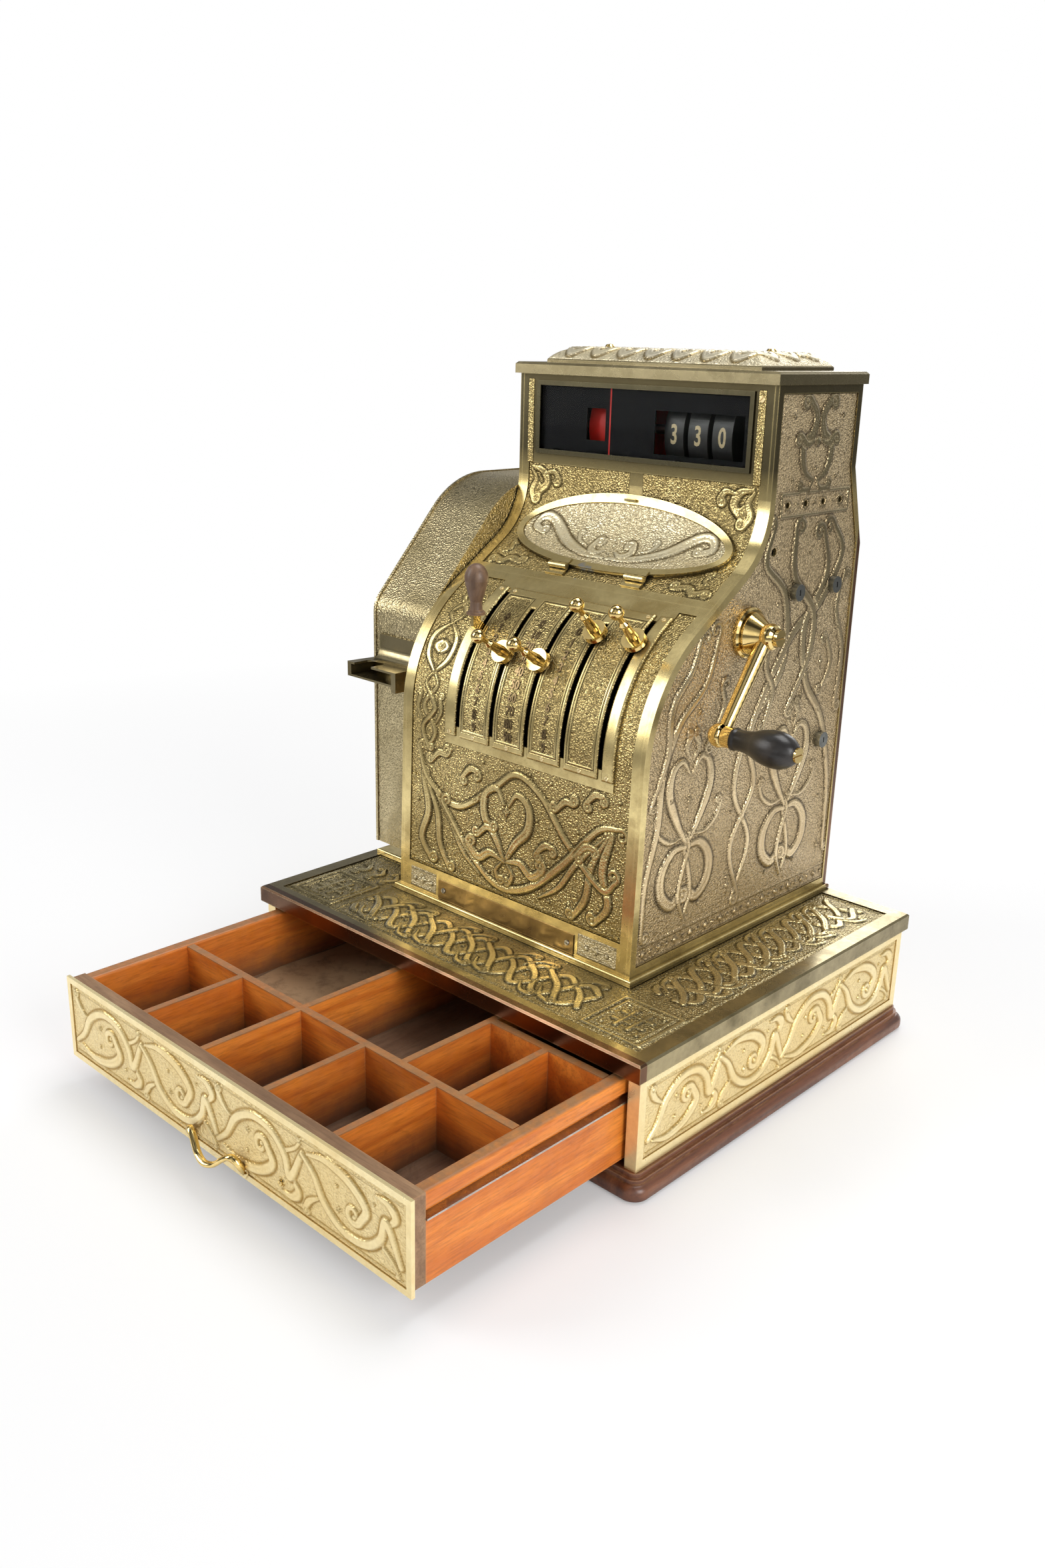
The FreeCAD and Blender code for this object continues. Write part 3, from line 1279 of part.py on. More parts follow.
sale = solid("sale_blade")
sale_span = (f"{SLOT[0]} - lever_arm / 2", f"{SLOT[0]} + lever_arm / 2")
pad(sale, "YZ", *sale_span,
    [on_arm("sale_angle", "lever_hub - 2", f"-{HALF_ARM}"), bend(-1),
     (f"{SALE_Y} - {HALF_ARM}", SALE_Z), (f"{SALE_Y} + {HALF_ARM}", SALE_Z), bend(1),
     on_arm("sale_angle", "lever_hub - 2", HALF_ARM)])
tang = rod("sale_tang", "sale_tang", (SLOT[0], SALE_Y, f"{SALE_Z} - 2"), "sale_grip / 2")
joined("sale_lever_arm", [sector("sale_sector", SLOT[0], 10, 4), sale, tang])
GRIP = "sale_grip"
grip = spun("sale_grip_turned",
            [("0", "0"), ("sale_grip_radius * 0.8", "0"), ("sale_grip_radius * 0.8", "2"),
             ("sale_grip_radius * 0.55", "4"), ("sale_grip_radius * 0.5", f"{GRIP} * 0.25"),
             ("sale_grip_radius * 0.72", f"{GRIP} * 0.4"),
             ("sale_grip_radius", f"{GRIP} * 0.66", "sale_grip_radius * 1.6", 1),
             ("sale_grip_radius * 0.7", f"{GRIP} * 0.92",
              bulge(f"{GRIP} * 0.08", "sale_grip_radius * 0.7"), 1),
             ("0", GRIP)], SLOT[0], SALE_Y, SALE_Z)
cut("sale_lever_grip", grip,
    rod("sale_grip_bore", "sale_tang + shaft_clearance", (SLOT[0], SALE_Y, f"{SALE_Z} - 1"),
        "sale_grip / 2 + 1"))


# ---------------------------------------------------------------- digit wheels and sale flag drum

def pinion(name, x):
    """A pinion on the wheel shaft, a gap of its teeth to the front."""
    body = solid(name)
    span = ("-tooth_width / 2", "tooth_width / 2")
    pad(body, "YZ", *span, ("circle", "0", "0", f"{PINION} - {ROOT}"))
    tooth = gear_tooth(body, span, PINION, "(180 + 180 / pinion_teeth)")
    repeat("PartDesign::PolarPattern", body, tooth, "Axis", "Angle", "360", 13)
    pocket(body, "YZ", *span, ("circle", "0", "0", "indicator_shaft + shaft_clearance"))
    return tie(body, x=x, y="wheel_y", z=WHEEL_Z)


def wheel(name, x, width, side, pinion_x):
    """A hollow wheel on the shaft, with its pinion at one side."""
    half, web = f"({width} / 2)", "(wheel_web / 2)"
    bore = "(indicator_shaft + shaft_clearance)"
    inner = "(wheel_radius - wheel_rim)"
    turned = spun(name + "_turned",
                  [(bore, f"-{half}"), ("hub_radius", f"-{half}"), ("hub_radius", f"-{web}"),
                   (inner, f"-{web}"), (inner, f"-{half}"), ("wheel_radius", f"-{half}"),
                   ("wheel_radius", half), (inner, half), (inner, web), ("hub_radius", web),
                   ("hub_radius", half), (bore, half)],
                  x, "wheel_y", WHEEL_Z, (0, 1, 0), "90")
    gear = pinion(name + "_pinion", pinion_x)
    ends = [f"({x} + {side} * {half})", pinion_x]
    near, far = ends if side > 0 else ends[::-1]
    neck = prism(name + "_neck", "YZ", f"{near} - 0.2", f"{far} + 0.2",
                 ("circle", "wheel_y", WHEEL_Z, "hub_radius"), ("circle", "wheel_y", WHEEL_Z, bore))
    return joined(name, [turned, neck, gear])


for label, place, gear_x in zip(("hundreds", "tens", "units"), WHEEL_X, PINION_X):
    wheel(f"wheel_{label}", place, "wheel_width", 1, gear_x)
FLAG_X = "((flag_left + flag_right) / 2)"
wheel("sale_flag_drum", FLAG_X, "(flag_right - flag_left)", -1, SLOT[0])


# ---------------------------------------------------------------- crank and its escutcheon

CRANK_Z = above("crank_above")
CRANK_PIN_Y = "(crank_y - crank_throw * cos(crank_angle))"
CRANK_PIN_Z = f"({CRANK_Z} - crank_throw * sin(crank_angle))"
SEAT = "(half_width - relief_depth)"
FLANGE_END = "(half_width + flange_height)"


CRANK_BORE = "(crank_shaft + 2 * shaft_clearance)"
spun("crank_escutcheon",
     [(CRANK_BORE, "0"), ("flange_radius", "0"), ("flange_radius", f"{FLANGE_END} - {SEAT} - 1.5"),
      ("flange_radius - 1.5", f"{FLANGE_END} - {SEAT}"), (CRANK_BORE, f"{FLANGE_END} - {SEAT}")],
     SEAT, "crank_y", CRANK_Z, (0, 1, 0), "90")
HUB_LONG = f"(crank_hub_end - {FLANGE_END})"
crank_hub = spun("crank_hub_turned",
                 [("0", "running_gap"), ("hub_flare", "running_gap"), ("hub_flare", "2.4"),
                  ("crank_hub", f"{HUB_LONG} * 0.55", bulge("hub_flare - crank_hub",
                                                            f"{HUB_LONG} * 0.55 - 2.4"), 1),
                  ("crank_hub", f"{HUB_LONG} - 2"), ("crank_hub - 2", HUB_LONG), ("0", HUB_LONG)],
                 FLANGE_END, "crank_y", CRANK_Z, (0, 1, 0), "90")
crank_bar = rod("crank_bar", "crank_shaft", (f"-{FRAME_OUT}", "crank_y", CRANK_Z),
                f"{FRAME_OUT} + {FLANGE_END} + 4", "x")
arm = add("Part::Cone", "crank_arm_cone", x="crank_arm_x", y="crank_y", z=CRANK_Z,
          Radius1="crank_arm_radius", Radius2="crank_arm_tip", Height="crank_throw")
turned_about(arm, (1, 0, 0), "90 + crank_angle")
boss = add("Part::Sphere", "crank_boss_ball", x="crank_arm_x - 2", y=CRANK_PIN_Y, z=CRANK_PIN_Z,
           Radius="crank_boss")
ferrule = rod("crank_ferrule", "grip_collar - 0.8", ("crank_arm_x", CRANK_PIN_Y, CRANK_PIN_Z),
              "grip_start - running_gap - crank_arm_x", "x")
spindle = rod("crank_spindle", "crank_pin", ("crank_arm_x", CRANK_PIN_Y, CRANK_PIN_Z),
              "grip_start + grip_length - crank_arm_x", "x")
joined("crank_arm", [crank_bar, crank_hub, arm, boss, ferrule, spindle])

GRIP_BORE = "(crank_pin + shaft_clearance)"
LONG = "grip_length"
spun("crank_grip",
     [(GRIP_BORE, "0"), ("grip_collar", "0"), ("grip_collar", "2"), ("grip_waist", "4"),
      ("grip_waist", f"{LONG} * 0.12", bulge("(grip_radius - grip_waist) / 2", f"{LONG} * 0.26"),
       -1),
      ("(grip_waist + grip_radius) / 2", f"{LONG} * 0.38",
       bulge("(grip_radius - grip_waist) / 2", f"{LONG} * 0.3"), 1),
      ("grip_radius", f"{LONG} * 0.68", bulge("grip_radius / 2", f"{LONG} * 0.3"), 1),
      ("grip_radius / 2", f"{LONG} * 0.98"), ("grip_radius / 2 - 1", LONG), (GRIP_BORE, LONG)],
     "grip_start", CRANK_PIN_Y, CRANK_PIN_Z, (0, 1, 0), "90")
nut = cut("hub_nut", rod("hub_nut_round", "crank_hub * 0.7", ("crank_hub_end", "crank_y", CRANK_Z),
                         "3.5", "x"),
          block("hub_nut_slot", ("crank_hub_end + 2", "crank_y - 12", f"{CRANK_Z} - 0.9"),
                ("crank_hub_end + 4", "crank_y + 12", f"{CRANK_Z} + 0.9")))
GRIP_END = "(grip_start + grip_length)"
end_screw = cut("grip_screw",
                rod("grip_screw_round", "crank_pin * 2", (GRIP_END, CRANK_PIN_Y, CRANK_PIN_Z),
                    "2", "x"),
                block("grip_screw_slot", (f"{GRIP_END} + 1", f"{CRANK_PIN_Y} - 8",
                                          f"{CRANK_PIN_Z} - 0.7"),
                      (f"{GRIP_END} + 3", f"{CRANK_PIN_Y} + 8", f"{CRANK_PIN_Z} + 0.7")))
group("crank_fasteners", [nut, end_screw])


# ---------------------------------------------------------------- locks

LOCK_END = "(half_width + lock_proud)"
LOCK_DEEP = "(half_width - lock_depth)"
bodies = []
for name, (y, z) in zip(("front", "rear", "low"), LOCK_PLACES):
    flange = rod(f"lock_flange_{name}", "lock_flange", (SEAT, y, z), f"{LOCK_END} - {SEAT}", "x")
    barrel = rod(f"lock_barrel_{name}", "lock_barrel", (LOCK_DEEP, y, z),
                 f"{LOCK_END} - {LOCK_DEEP}", "x")
    bore = rod(f"lock_bore_{name}", "lock_plug + shaft_clearance", (f"{LOCK_DEEP} - 1", y, z),
               f"{LOCK_END} - {LOCK_DEEP} + 2", "x")
    bodies.append(cut(f"lock_body_{name}", joined(f"lock_round_{name}", [flange, barrel]), bore))
    plug = rod(f"lock_turning_{name}", "lock_plug", (LOCK_DEEP, y, z),
               f"{LOCK_END} - {LOCK_DEEP}", "x")
    keyway = block(f"keyway_{name}", (f"{LOCK_END} - 8", f"{y} - keyway_width / 2",
                                      f"{z} - keyway_height / 2"),
                   (f"{LOCK_END} + 1", f"{y} + keyway_width / 2", f"{z} + keyway_height / 2"))
    cut(f"lock_plug_{name}", plug, keyway)
group("lock_bodies", bodies)


# ---------------------------------------------------------------- bell and dome nuts

BELL = "bell_above - foot_height"
BELL_TOP = f"({BELL} + bell_height)"
BELL_ARC = bulge("bell_height", "bell_radius")
INNER_ARC = bulge("bell_height - bell_wall", "bell_radius - bell_wall")
spun("bell",
     [("0", "0"), ("bell_post * 2.2", "0"), ("bell_post * 2.2", "2"), ("bell_post", "2"),
      ("bell_post", f"{BELL_TOP} - bell_wall - 0.3", INNER_ARC, -1),
      ("bell_radius - bell_wall", BELL), ("bell_radius", BELL, BELL_ARC, 1), ("0", BELL_TOP)],
     "bell_x", "bell_y", FLOOR)

NUT_Y = f"(({CORNICE_FRONT} + {CORNICE_BACK}) / 2)"
NUT_LOOP = [("0", "0"), ("nut_radius", "0"), ("nut_radius", "2.4"), ("nut_radius * 0.7", "4"),
            ("0", "4.6")]
nuts = [spun(f"dome_nut_{name}", NUT_LOOP, f"{side} * nut_x", NUT_Y,
             f"({CORNICE_TOP} + dome_height)") for name, side in (("left", -1), ("right", 1))]
group("dome_nuts", nuts)


# ---------------------------------------------------------------- printer cover and chute

PRINTER_LOW = above("printer_low")
CROWN_Z = above("(printer_top - printer_crown_radius)")


def printer_line(inset):
    """Up the front, over the slope and the crown and down the back."""
    crown = f"(printer_crown_radius - {inset})"
    nose = f"(printer_nose_radius - {inset})"
    crown_y = f"(printer_crown_y - {crown} * sin(printer_slope))"
    crown_z = f"({CROWN_Z} + {crown} * cos(printer_slope))"
    nose_y = "(printer_front + printer_nose_radius)"
    slope_y = f"({nose_y} - {nose} * sin(printer_slope))"
    slope_z = f"({crown_z} - ({crown_y} - {slope_y}) * tan(printer_slope))"
    shoulder = f"({slope_z} - {nose} * cos(printer_slope))"
    round_back = f"(printer_nose_radius - {inset})"
    top_z = f"({above('printer_top')} - {inset})"
    return [(f"printer_front + {inset}", PRINTER_LOW),
            (f"printer_front + {inset}", shoulder, nose, -1), (slope_y, slope_z),
            (crown_y, crown_z, crown, -1), ("printer_crown_y", top_z),
            ("printer_back - printer_nose_radius", top_z, round_back, -1),
            (f"printer_back - {inset}", above("(printer_top - printer_nose_radius)")),
            (f"printer_back - {inset}", PRINTER_LOW)]


cover = solid("printer_cover")
pad(cover, "YZ", "-printer_left", "-half_width", printer_line("0"))
pad(cover, "YZ", "-printer_left", "-printer_left + 1.5 * printer_bead",
    printer_line("(-printer_bead / 2)"))
pocket(cover, "YZ", "-printer_left + printer_sheet", "-half_width", printer_line("printer_sheet"))

CHUTE_Z = above("chute_above")
CHUTE_LOW = f"({CHUTE_Z} - chute_height)"
CHUTE_FRONT = "(printer_front - chute_reach)"
BEAD_IN = "(-printer_left + 1.5 * printer_bead + running_gap)"
BEAD_FRONT = "(printer_front - printer_bead / 2 - running_gap)"
chute = solid("printer_chute")
pad(chute, "XY", CHUTE_LOW, CHUTE_Z,
    [(BEAD_IN, "printer_front"), (BEAD_IN, BEAD_FRONT), ("-chute_left + 4", BEAD_FRONT),
     ("-chute_left", CHUTE_FRONT), ("-chute_right", CHUTE_FRONT),
     ("-chute_right", "printer_front")])
pad(chute, "XY", f"{CHUTE_LOW} - 5", CHUTE_LOW,
    rectangle("-chute_right - chute_block", CHUTE_FRONT, "-chute_right", "printer_front"))
pocket(chute, "XY", f"{CHUTE_LOW} + chute_sheet", f"{CHUTE_Z} - chute_sheet",
       rectangle("-chute_left + 5", f"{CHUTE_FRONT} - 1", "-chute_right - chute_block",
                 "printer_front - chute_sheet"))
NOTCH_END = f"({CHUTE_FRONT} + chute_notch * 1.3)"
pocket(chute, "XY", f"{CHUTE_Z} - chute_sheet", CHUTE_Z,
       [("chute_notch_x - chute_notch", f"{CHUTE_FRONT} - 1"),
        ("chute_notch_x + chute_notch", f"{CHUTE_FRONT} - 1"),
        ("chute_notch_x + chute_notch", f"{NOTCH_END}", "chute_notch * 1.04", 1),
        ("chute_notch_x - chute_notch", f"{NOTCH_END}")])
RAMP_BACK = "printer_front - chute_sheet"
pad(chute, "YZ", "-chute_left + 13", "-chute_right",
    [("printer_front", CHUTE_Z), ("printer_front", f"{CHUTE_Z} + chute_ramp"),
     (RAMP_BACK, f"{CHUTE_Z} + chute_ramp"),
     (RAMP_BACK, f"{CHUTE_Z} + chute_ramp / 2", "chute_ramp / 2", -1),
     (f"{RAMP_BACK} - chute_ramp / 2", CHUTE_Z)])


# ---------------------------------------------------------------- drawer pull

pull = solid("drawer_pull_wire")
BEND = "pull_bend"
path = [("-pull_half_span", "0"), ("-pull_half_span", f"pull_reach - {BEND}", BEND, -1),
        (f"-pull_half_span + {BEND}", "pull_reach"),
        (f"pull_half_span - {BEND}", "pull_reach", BEND, -1),
        ("pull_half_span", f"pull_reach - {BEND}"), ("pull_half_span", "0")]
spine = sketch_on(pull, "XY", "0", [path], closed=False)
section = sketch_on(pull, "XZ", "0", [("circle", "-pull_half_span", "0", "pull_end_radius")])
sweep = pull.newObject("PartDesign::AdditivePipe", "pull_sweep")
sweep.Profile, sweep.Spine = section, (spine, [])
turned_about(pull, (1, 0, 0), "180 + pull_tilt")
tie(pull, x="0", y=DRAWER_FRONT, z=f"{FRONT_LOW} + pull_above_bottom")
PULL_Z = f"({FRONT_LOW} + pull_above_bottom)"
wire = cut("pull_trimmed", pull, block("pull_trim", ("-front_plate_half", DRAWER_FRONT, FRONT_LOW),
                                       ("front_plate_half", BOARD_FRONT, FRONT_HIGH)))
FIELD_FACE = f"({DRAWER_FRONT} + relief_depth)"
roses = [rod(f"pull_rose_{name}", "rosette_radius", (f"{side} * pull_half_span", FIELD_FACE, PULL_Z),
             "relief_depth + 1.5", "y") for name, side in (("left", -1), ("right", 1))]
joined("drawer_pull", [wire] + roses)


# ---------------------------------------------------------------- check and write

NODES = """
plinth_board base_walls base_panel_left base_panel_right base_panel_back base_top runner_rails
drawer_front drawer_front_plate drawer_side_left drawer_side_right drawer_back drawer_bottom
drawer_cross_partition drawer_dividers drawer_strips drawer_pull
cabinet_foot lower_front upper_front side_panel_left side_panel_right back_panel cornice top_dome
dome_nuts window_frame window_glass indicator_mask scale_plates serial_plate door_hinges oval_door
side_frames cross_shafts rack_sale rack_hundreds rack_tens rack_units
sale_lever_arm sale_lever_grip lever_hundreds lever_tens lever_units lever_parts
wheel_hundreds wheel_tens wheel_units sale_flag_drum
crank_escutcheon crank_arm crank_grip crank_fasteners
lock_bodies lock_plug_front lock_plug_rear lock_plug_low bell printer_cover printer_chute
""".split()

doc.recompute()
faults = [o.Label for o in doc.Objects if "Invalid" in o.State or "Error" in o.State]
if faults:
    raise RuntimeError(f"objects in fault: {faults}")
os.makedirs("parts", exist_ok=True)
for label in NODES:
    shape = doc.getObjectsByLabel(label)[0].Shape
    if shape.isNull() or not shape.isValid() or not shape.Solids:
        raise RuntimeError(f"{label} has no sound shape")
    shape.exportStep(f"parts/{label}.step")
    box = shape.BoundBox
    print(label, len(shape.Solids), [round(v, 1) for v in (box.XMin, box.XMax, box.YMin, box.YMax,
                                                          box.ZMin, box.ZMax)])
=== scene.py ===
"""Looks of the brass lever cash register with its open wooden till drawer."""
import json
import math

import bmesh
import bpy
import numpy as np
from mathutils import Matrix, Vector
from mathutils.geometry import tessellate_polygon

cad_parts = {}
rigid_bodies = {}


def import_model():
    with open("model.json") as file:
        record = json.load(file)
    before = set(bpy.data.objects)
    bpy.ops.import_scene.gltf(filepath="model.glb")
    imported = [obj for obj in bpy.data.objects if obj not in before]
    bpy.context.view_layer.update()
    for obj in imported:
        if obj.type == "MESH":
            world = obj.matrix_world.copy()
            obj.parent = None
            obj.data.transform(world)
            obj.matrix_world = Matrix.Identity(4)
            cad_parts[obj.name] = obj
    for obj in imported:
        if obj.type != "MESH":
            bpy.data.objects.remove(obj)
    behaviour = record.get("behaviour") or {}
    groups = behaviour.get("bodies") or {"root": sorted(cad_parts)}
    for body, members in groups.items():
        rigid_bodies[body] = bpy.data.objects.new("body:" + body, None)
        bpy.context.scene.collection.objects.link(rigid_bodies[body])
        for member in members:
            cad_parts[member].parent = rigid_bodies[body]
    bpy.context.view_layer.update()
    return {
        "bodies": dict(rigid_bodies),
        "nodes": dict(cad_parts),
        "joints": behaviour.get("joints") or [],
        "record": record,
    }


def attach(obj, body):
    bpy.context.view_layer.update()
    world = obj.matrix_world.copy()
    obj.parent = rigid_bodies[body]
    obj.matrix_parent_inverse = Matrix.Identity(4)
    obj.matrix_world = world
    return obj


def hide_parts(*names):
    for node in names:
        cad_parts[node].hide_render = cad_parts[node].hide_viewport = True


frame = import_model()
NODES = frame["nodes"]
MM = 0.001

# ------------------------------------------------------------------ sizes in mm, as in the CAD

TOP = 115.0              # top of the base plate
FLOOR = 119.0            # foot of the cabinet castings
NOSE_Y, NOSE_Z, NOSE_R = 30.0, 290.0, 126.0
FOOT_FRONT = -100.6
COVE_R, FRONT_Y = 67.0, 49.5
BACK_Y, UPPER_BACK = 197.0, 176.0
STEP_LOW, STEP_HIGH = TOP + 330.0, TOP + 397.0
CABINET_TOP = TOP + 465.5
WINDOW_FOOT = 502.0
BAND_HOLES, BAND_HOLE_Z = (76.0, 103.0, 130.0, 157.0), 485.8  # high in the right side, by Y
CUT_SLOTS = (-27.0, 55.0)             # the two lever slots that run through a scale plate
RAMP_ANGLE = 34                       # degrees
RAMP = math.radians(RAMP_ANGLE)
WHEEL_Y, WHEEL_Z, WHEEL_R = 108.0, 536.0, 46.0
CAMERA_ANGLES = (43.308, 18.459, 1.4066)  # azimuth, elevation and roll, in degrees
CAMERA_PLACE = (0.74534, -0.87479, 0.61036)  # in metres
CAMERA_LENS = 30.647


# ------------------------------------------------------------------ camera

def set_camera():
    """The photograph's viewpoint: its place, direction and slight roll."""
    azimuth, elevation, roll = (math.radians(a) for a in CAMERA_ANGLES)
    back = Vector((math.sin(azimuth) * math.cos(elevation),
                   -math.cos(azimuth) * math.cos(elevation), math.sin(elevation)))
    right = (-back).cross(Vector((0, 0, 1))).normalized()
    up = right.cross(-back)
    turned_right = right * math.cos(roll) + up * math.sin(roll)
    turned_up = -right * math.sin(roll) + up * math.cos(roll)
    data = bpy.data.cameras.new("photo_camera")
    data.sensor_width, data.lens = 36.0, CAMERA_LENS
    data.clip_start, data.clip_end = 0.05, 60.0
    camera = bpy.data.objects.new("photo_camera", data)
    bpy.context.scene.collection.objects.link(camera)
    axes = Matrix((turned_right, turned_up, back)).transposed().to_4x4()
    camera.matrix_world = Matrix.Translation(CAMERA_PLACE) @ axes
    bpy.context.scene.camera = camera


set_camera()


# ------------------------------------------------------------------ material nodes

class Nodes:
    """A node tree with short ways to add nodes."""

    def __init__(self, owner, coordinates="Object"):
        owner.use_nodes = True
        self.tree = owner.node_tree
        self.place = self.add("ShaderNodeTexCoord").outputs[coordinates]

    def add(self, kind, inputs=None, **settings):
        node = self.tree.nodes.new(kind)
        for key, value in settings.items():
            setattr(node, key, value)
        for key, value in (inputs or {}).items():
            if isinstance(value, bpy.types.NodeSocket):
                self.tree.links.new(value, node.inputs[key])
            else:
                node.inputs[key].default_value = value
        return node

    def stretched(self, *scale):
        return self.add("ShaderNodeMapping", {"Vector": self.place, "Scale": scale}).outputs[0]

    def noise(self, scale, detail=4.0, rough=0.55, twist=0.0, place=None):
        return self.add("ShaderNodeTexNoise", {
            "Vector": place or self.place, "Scale": scale, "Detail": detail,
            "Roughness": rough, "Distortion": twist}).outputs["Fac"]

    def cells(self, scale, feature="F1", place=None):
        return self.add("ShaderNodeTexVoronoi", {"Vector": place or self.place, "Scale": scale},
                        feature=feature).outputs["Distance"]

    def attribute(self, name):
        return self.add("ShaderNodeAttribute", attribute_name=name).outputs["Fac"]

    def axis(self, name):
        return self.add("ShaderNodeSeparateXYZ", {0: self.place}).outputs[name]

    def span(self, value, low, high, to_low=0.0, to_high=1.0):
        return self.add("ShaderNodeMapRange", {
            0: value, 1: low, 2: high, 3: to_low, 4: to_high}, clamp=True).outputs[0]

    def sum(self, a, b, operation="ADD"):
        return self.add("ShaderNodeMath", {0: a, 1: b}, operation=operation).outputs[0]

    def mix(self, share, a, b, blend="MIX"):
        def colour(c):
            return c if isinstance(c, bpy.types.NodeSocket) else (*c, 1.0)
        node = self.add("ShaderNodeMix", {0: share, 6: colour(a), 7: colour(b)},
                        data_type="RGBA", blend_type=blend)
        return node.outputs[2]

    def edges(self, radius):
        """How near a surface point is to an edge of the solid."""
        soft = self.add("ShaderNodeBevel", {"Radius": radius}, samples=4).outputs[0]
        hard = self.add("ShaderNodeNewGeometry").outputs["Normal"]
        dot = self.add("ShaderNodeVectorMath", {0: soft, 1: hard}, operation="DOT_PRODUCT")
        return self.span(dot.outputs["Value"], 0.995, 0.8)

    def crevices(self, distance):
        """How closed in a surface point is by its neighbours, for painted shade in crevices."""
        open_sky = self.add("ShaderNodeAmbientOcclusion", {"Distance": distance}, samples=3)
        return self.span(open_sky.outputs["AO"], 0.85, 0.4)

    def bump(self, height, strength, distance, before=None):
        inputs = {"Height": height, "Strength": strength, "Distance": distance}
        if before:
            inputs["Normal"] = before
        return self.add("ShaderNodeBump", inputs).outputs[0]


class Finish(Nodes):
    """A material that is built from procedural nodes."""

    def __init__(self, name, **settings):
        self.material = bpy.data.materials.new(name)
        super().__init__(self.material)
        self.shader = self.tree.nodes["Principled BSDF"]
        for key, value in settings.items():
            self.shader.inputs[key.replace("_", " ")].default_value = value

    def finish(self, colour, rough, normal=None):
        for key, value in (("Base Color", colour), ("Roughness", rough), ("Normal", normal)):
            if value is None:
                continue
            if isinstance(value, bpy.types.NodeSocket):
                self.tree.links.new(value, self.shader.inputs[key])
            else:
                self.shader.inputs[key].default_value = value
        return self.material


def brass(name, bright, dull, grime_and_shade, rough, stipple=0.0, relief=False, patina=14.0, front=None,
          back=None, high=None, patch=None, metallic=1.0):
    """Worn brass: clouds of tarnish, bright edges, fine scratches and a stippled ground.

    front and back tint what lies beyond a line in Y. high fades a tint in between two heights,
    by a share; it darkens the top as painted dark reflection. patch is a worn spot with its
    reach and colour. grime_and_shade colours tarnish and dirt, and the painted shade in crevices
    and at the foot of relief strokes. Lengths are in metres.
    """
    f = Finish(name, Metallic=metallic)
    clouds = f.span(f.noise(patina, 6.0, 0.62, 0.6), 0.38, 0.66)
    flecks = f.span(f.noise(190.0, 5.0, 0.7), 0.35, 0.72)
    colour = f.mix(clouds, bright, dull)
    colour = f.mix(f.sum(flecks, 0.22, "MULTIPLY"), colour, grime_and_shade)
    # painted dark reflection: a darker tint fades in towards the top
    if high:
        low_z, high_z, share, tint = high
        upper = f.span(f.axis("Z"), low_z, high_z, 0.0, share)
        if relief:
            upper = f.sum(upper, f.span(f.attribute("lift"), 0.1, 0.7, 0.45, 1.0), "MULTIPLY")
        colour = f.mix(upper, colour, f.mix(clouds, *tint))
    if back:
        line, tint = back
        colour = f.mix(f.span(f.axis("Y"), line - 0.0008, line), colour, f.mix(clouds, *tint))
    if patch:
        spot, reach, tint = patch
        gap = f.add("ShaderNodeVectorMath", {0: f.place, 1: spot},
                    operation="DISTANCE").outputs["Value"]
        ragged = f.sum(gap, f.sum(f.noise(140.0, 4.0, 0.6), 0.03, "MULTIPLY"), "ADD")
        colour = f.mix(f.span(ragged, reach + 0.001, reach - 0.001), colour, tint)
    if front:
        line, tint = front
        colour = f.mix(f.span(f.axis("Y"), line + 0.0008, line), colour, f.mix(clouds, *tint))
    scratches = f.noise(900.0, 3.0, 0.6, 0.0, f.stretched(1.0, 0.14, 1.0))
    normal = f.bump(scratches, 0.25, 0.00006)
    if relief:
        lift, dirt_and_shade = f.attribute("lift"), f.attribute("dirt_and_shade")
        ground = f.sum(1.0, lift, "SUBTRACT")
        pebbles = f.cells(640.0, "SMOOTH_F1", f.stretched(1.0, 1.0, 1.25))
        worn = f.sum(f.noise(55.0, 4.0, 0.6), 0.55, "ADD")
        colour = f.mix(f.sum(ground, f.sum(worn, 0.5, "MULTIPLY"), "MULTIPLY"), colour, dull)
        valleys = f.sum(f.span(pebbles, 0.28, 0.66), ground, "MULTIPLY")
        colour = f.mix(f.sum(valleys, 0.5 * stipple, "MULTIPLY"), colour, grime_and_shade)
        # dirt and painted shade: a dark ring at the foot of each relief stroke
        colour = f.mix(f.sum(f.sum(dirt_and_shade, worn, "MULTIPLY"), 0.95, "MULTIPLY"), colour, grime_and_shade)
        normal = f.bump(pebbles, f.sum(ground, 0.8 * stipple, "MULTIPLY"), 0.0014, normal)
    elif stipple:
        pebbles = f.cells(680.0, "SMOOTH_F1")
        normal = f.bump(pebbles, 0.5 * stipple, 0.0010, normal)
        colour = f.mix(f.span(pebbles, 0.15, 0.6, 0.0, 0.35), colour, grime_and_shade)
    if not relief:
        colour = f.mix(f.sum(f.edges(0.0016), 0.6, "MULTIPLY"), colour, bright)
    # painted shade: ambient occlusion darkens seams and crevices towards grime_and_shade
    colour = f.mix(f.sum(f.crevices(0.006), 0.85, "MULTIPLY"), colour, grime_and_shade)
    normal = f.bump(f.noise(60.0, 4.0, 0.5), 0.15, 0.00036, normal)
    tarnish = f.sum(clouds, f.sum(flecks, 0.4, "MULTIPLY"))
    return f.finish(colour, f.span(tarnish, 0.1, 1.3, *rough), normal)


DRAWER_TOP, DRAWER_FLOOR, DRAWER_INSIDE = 0.0964, 0.0424, 0.2035  # metres


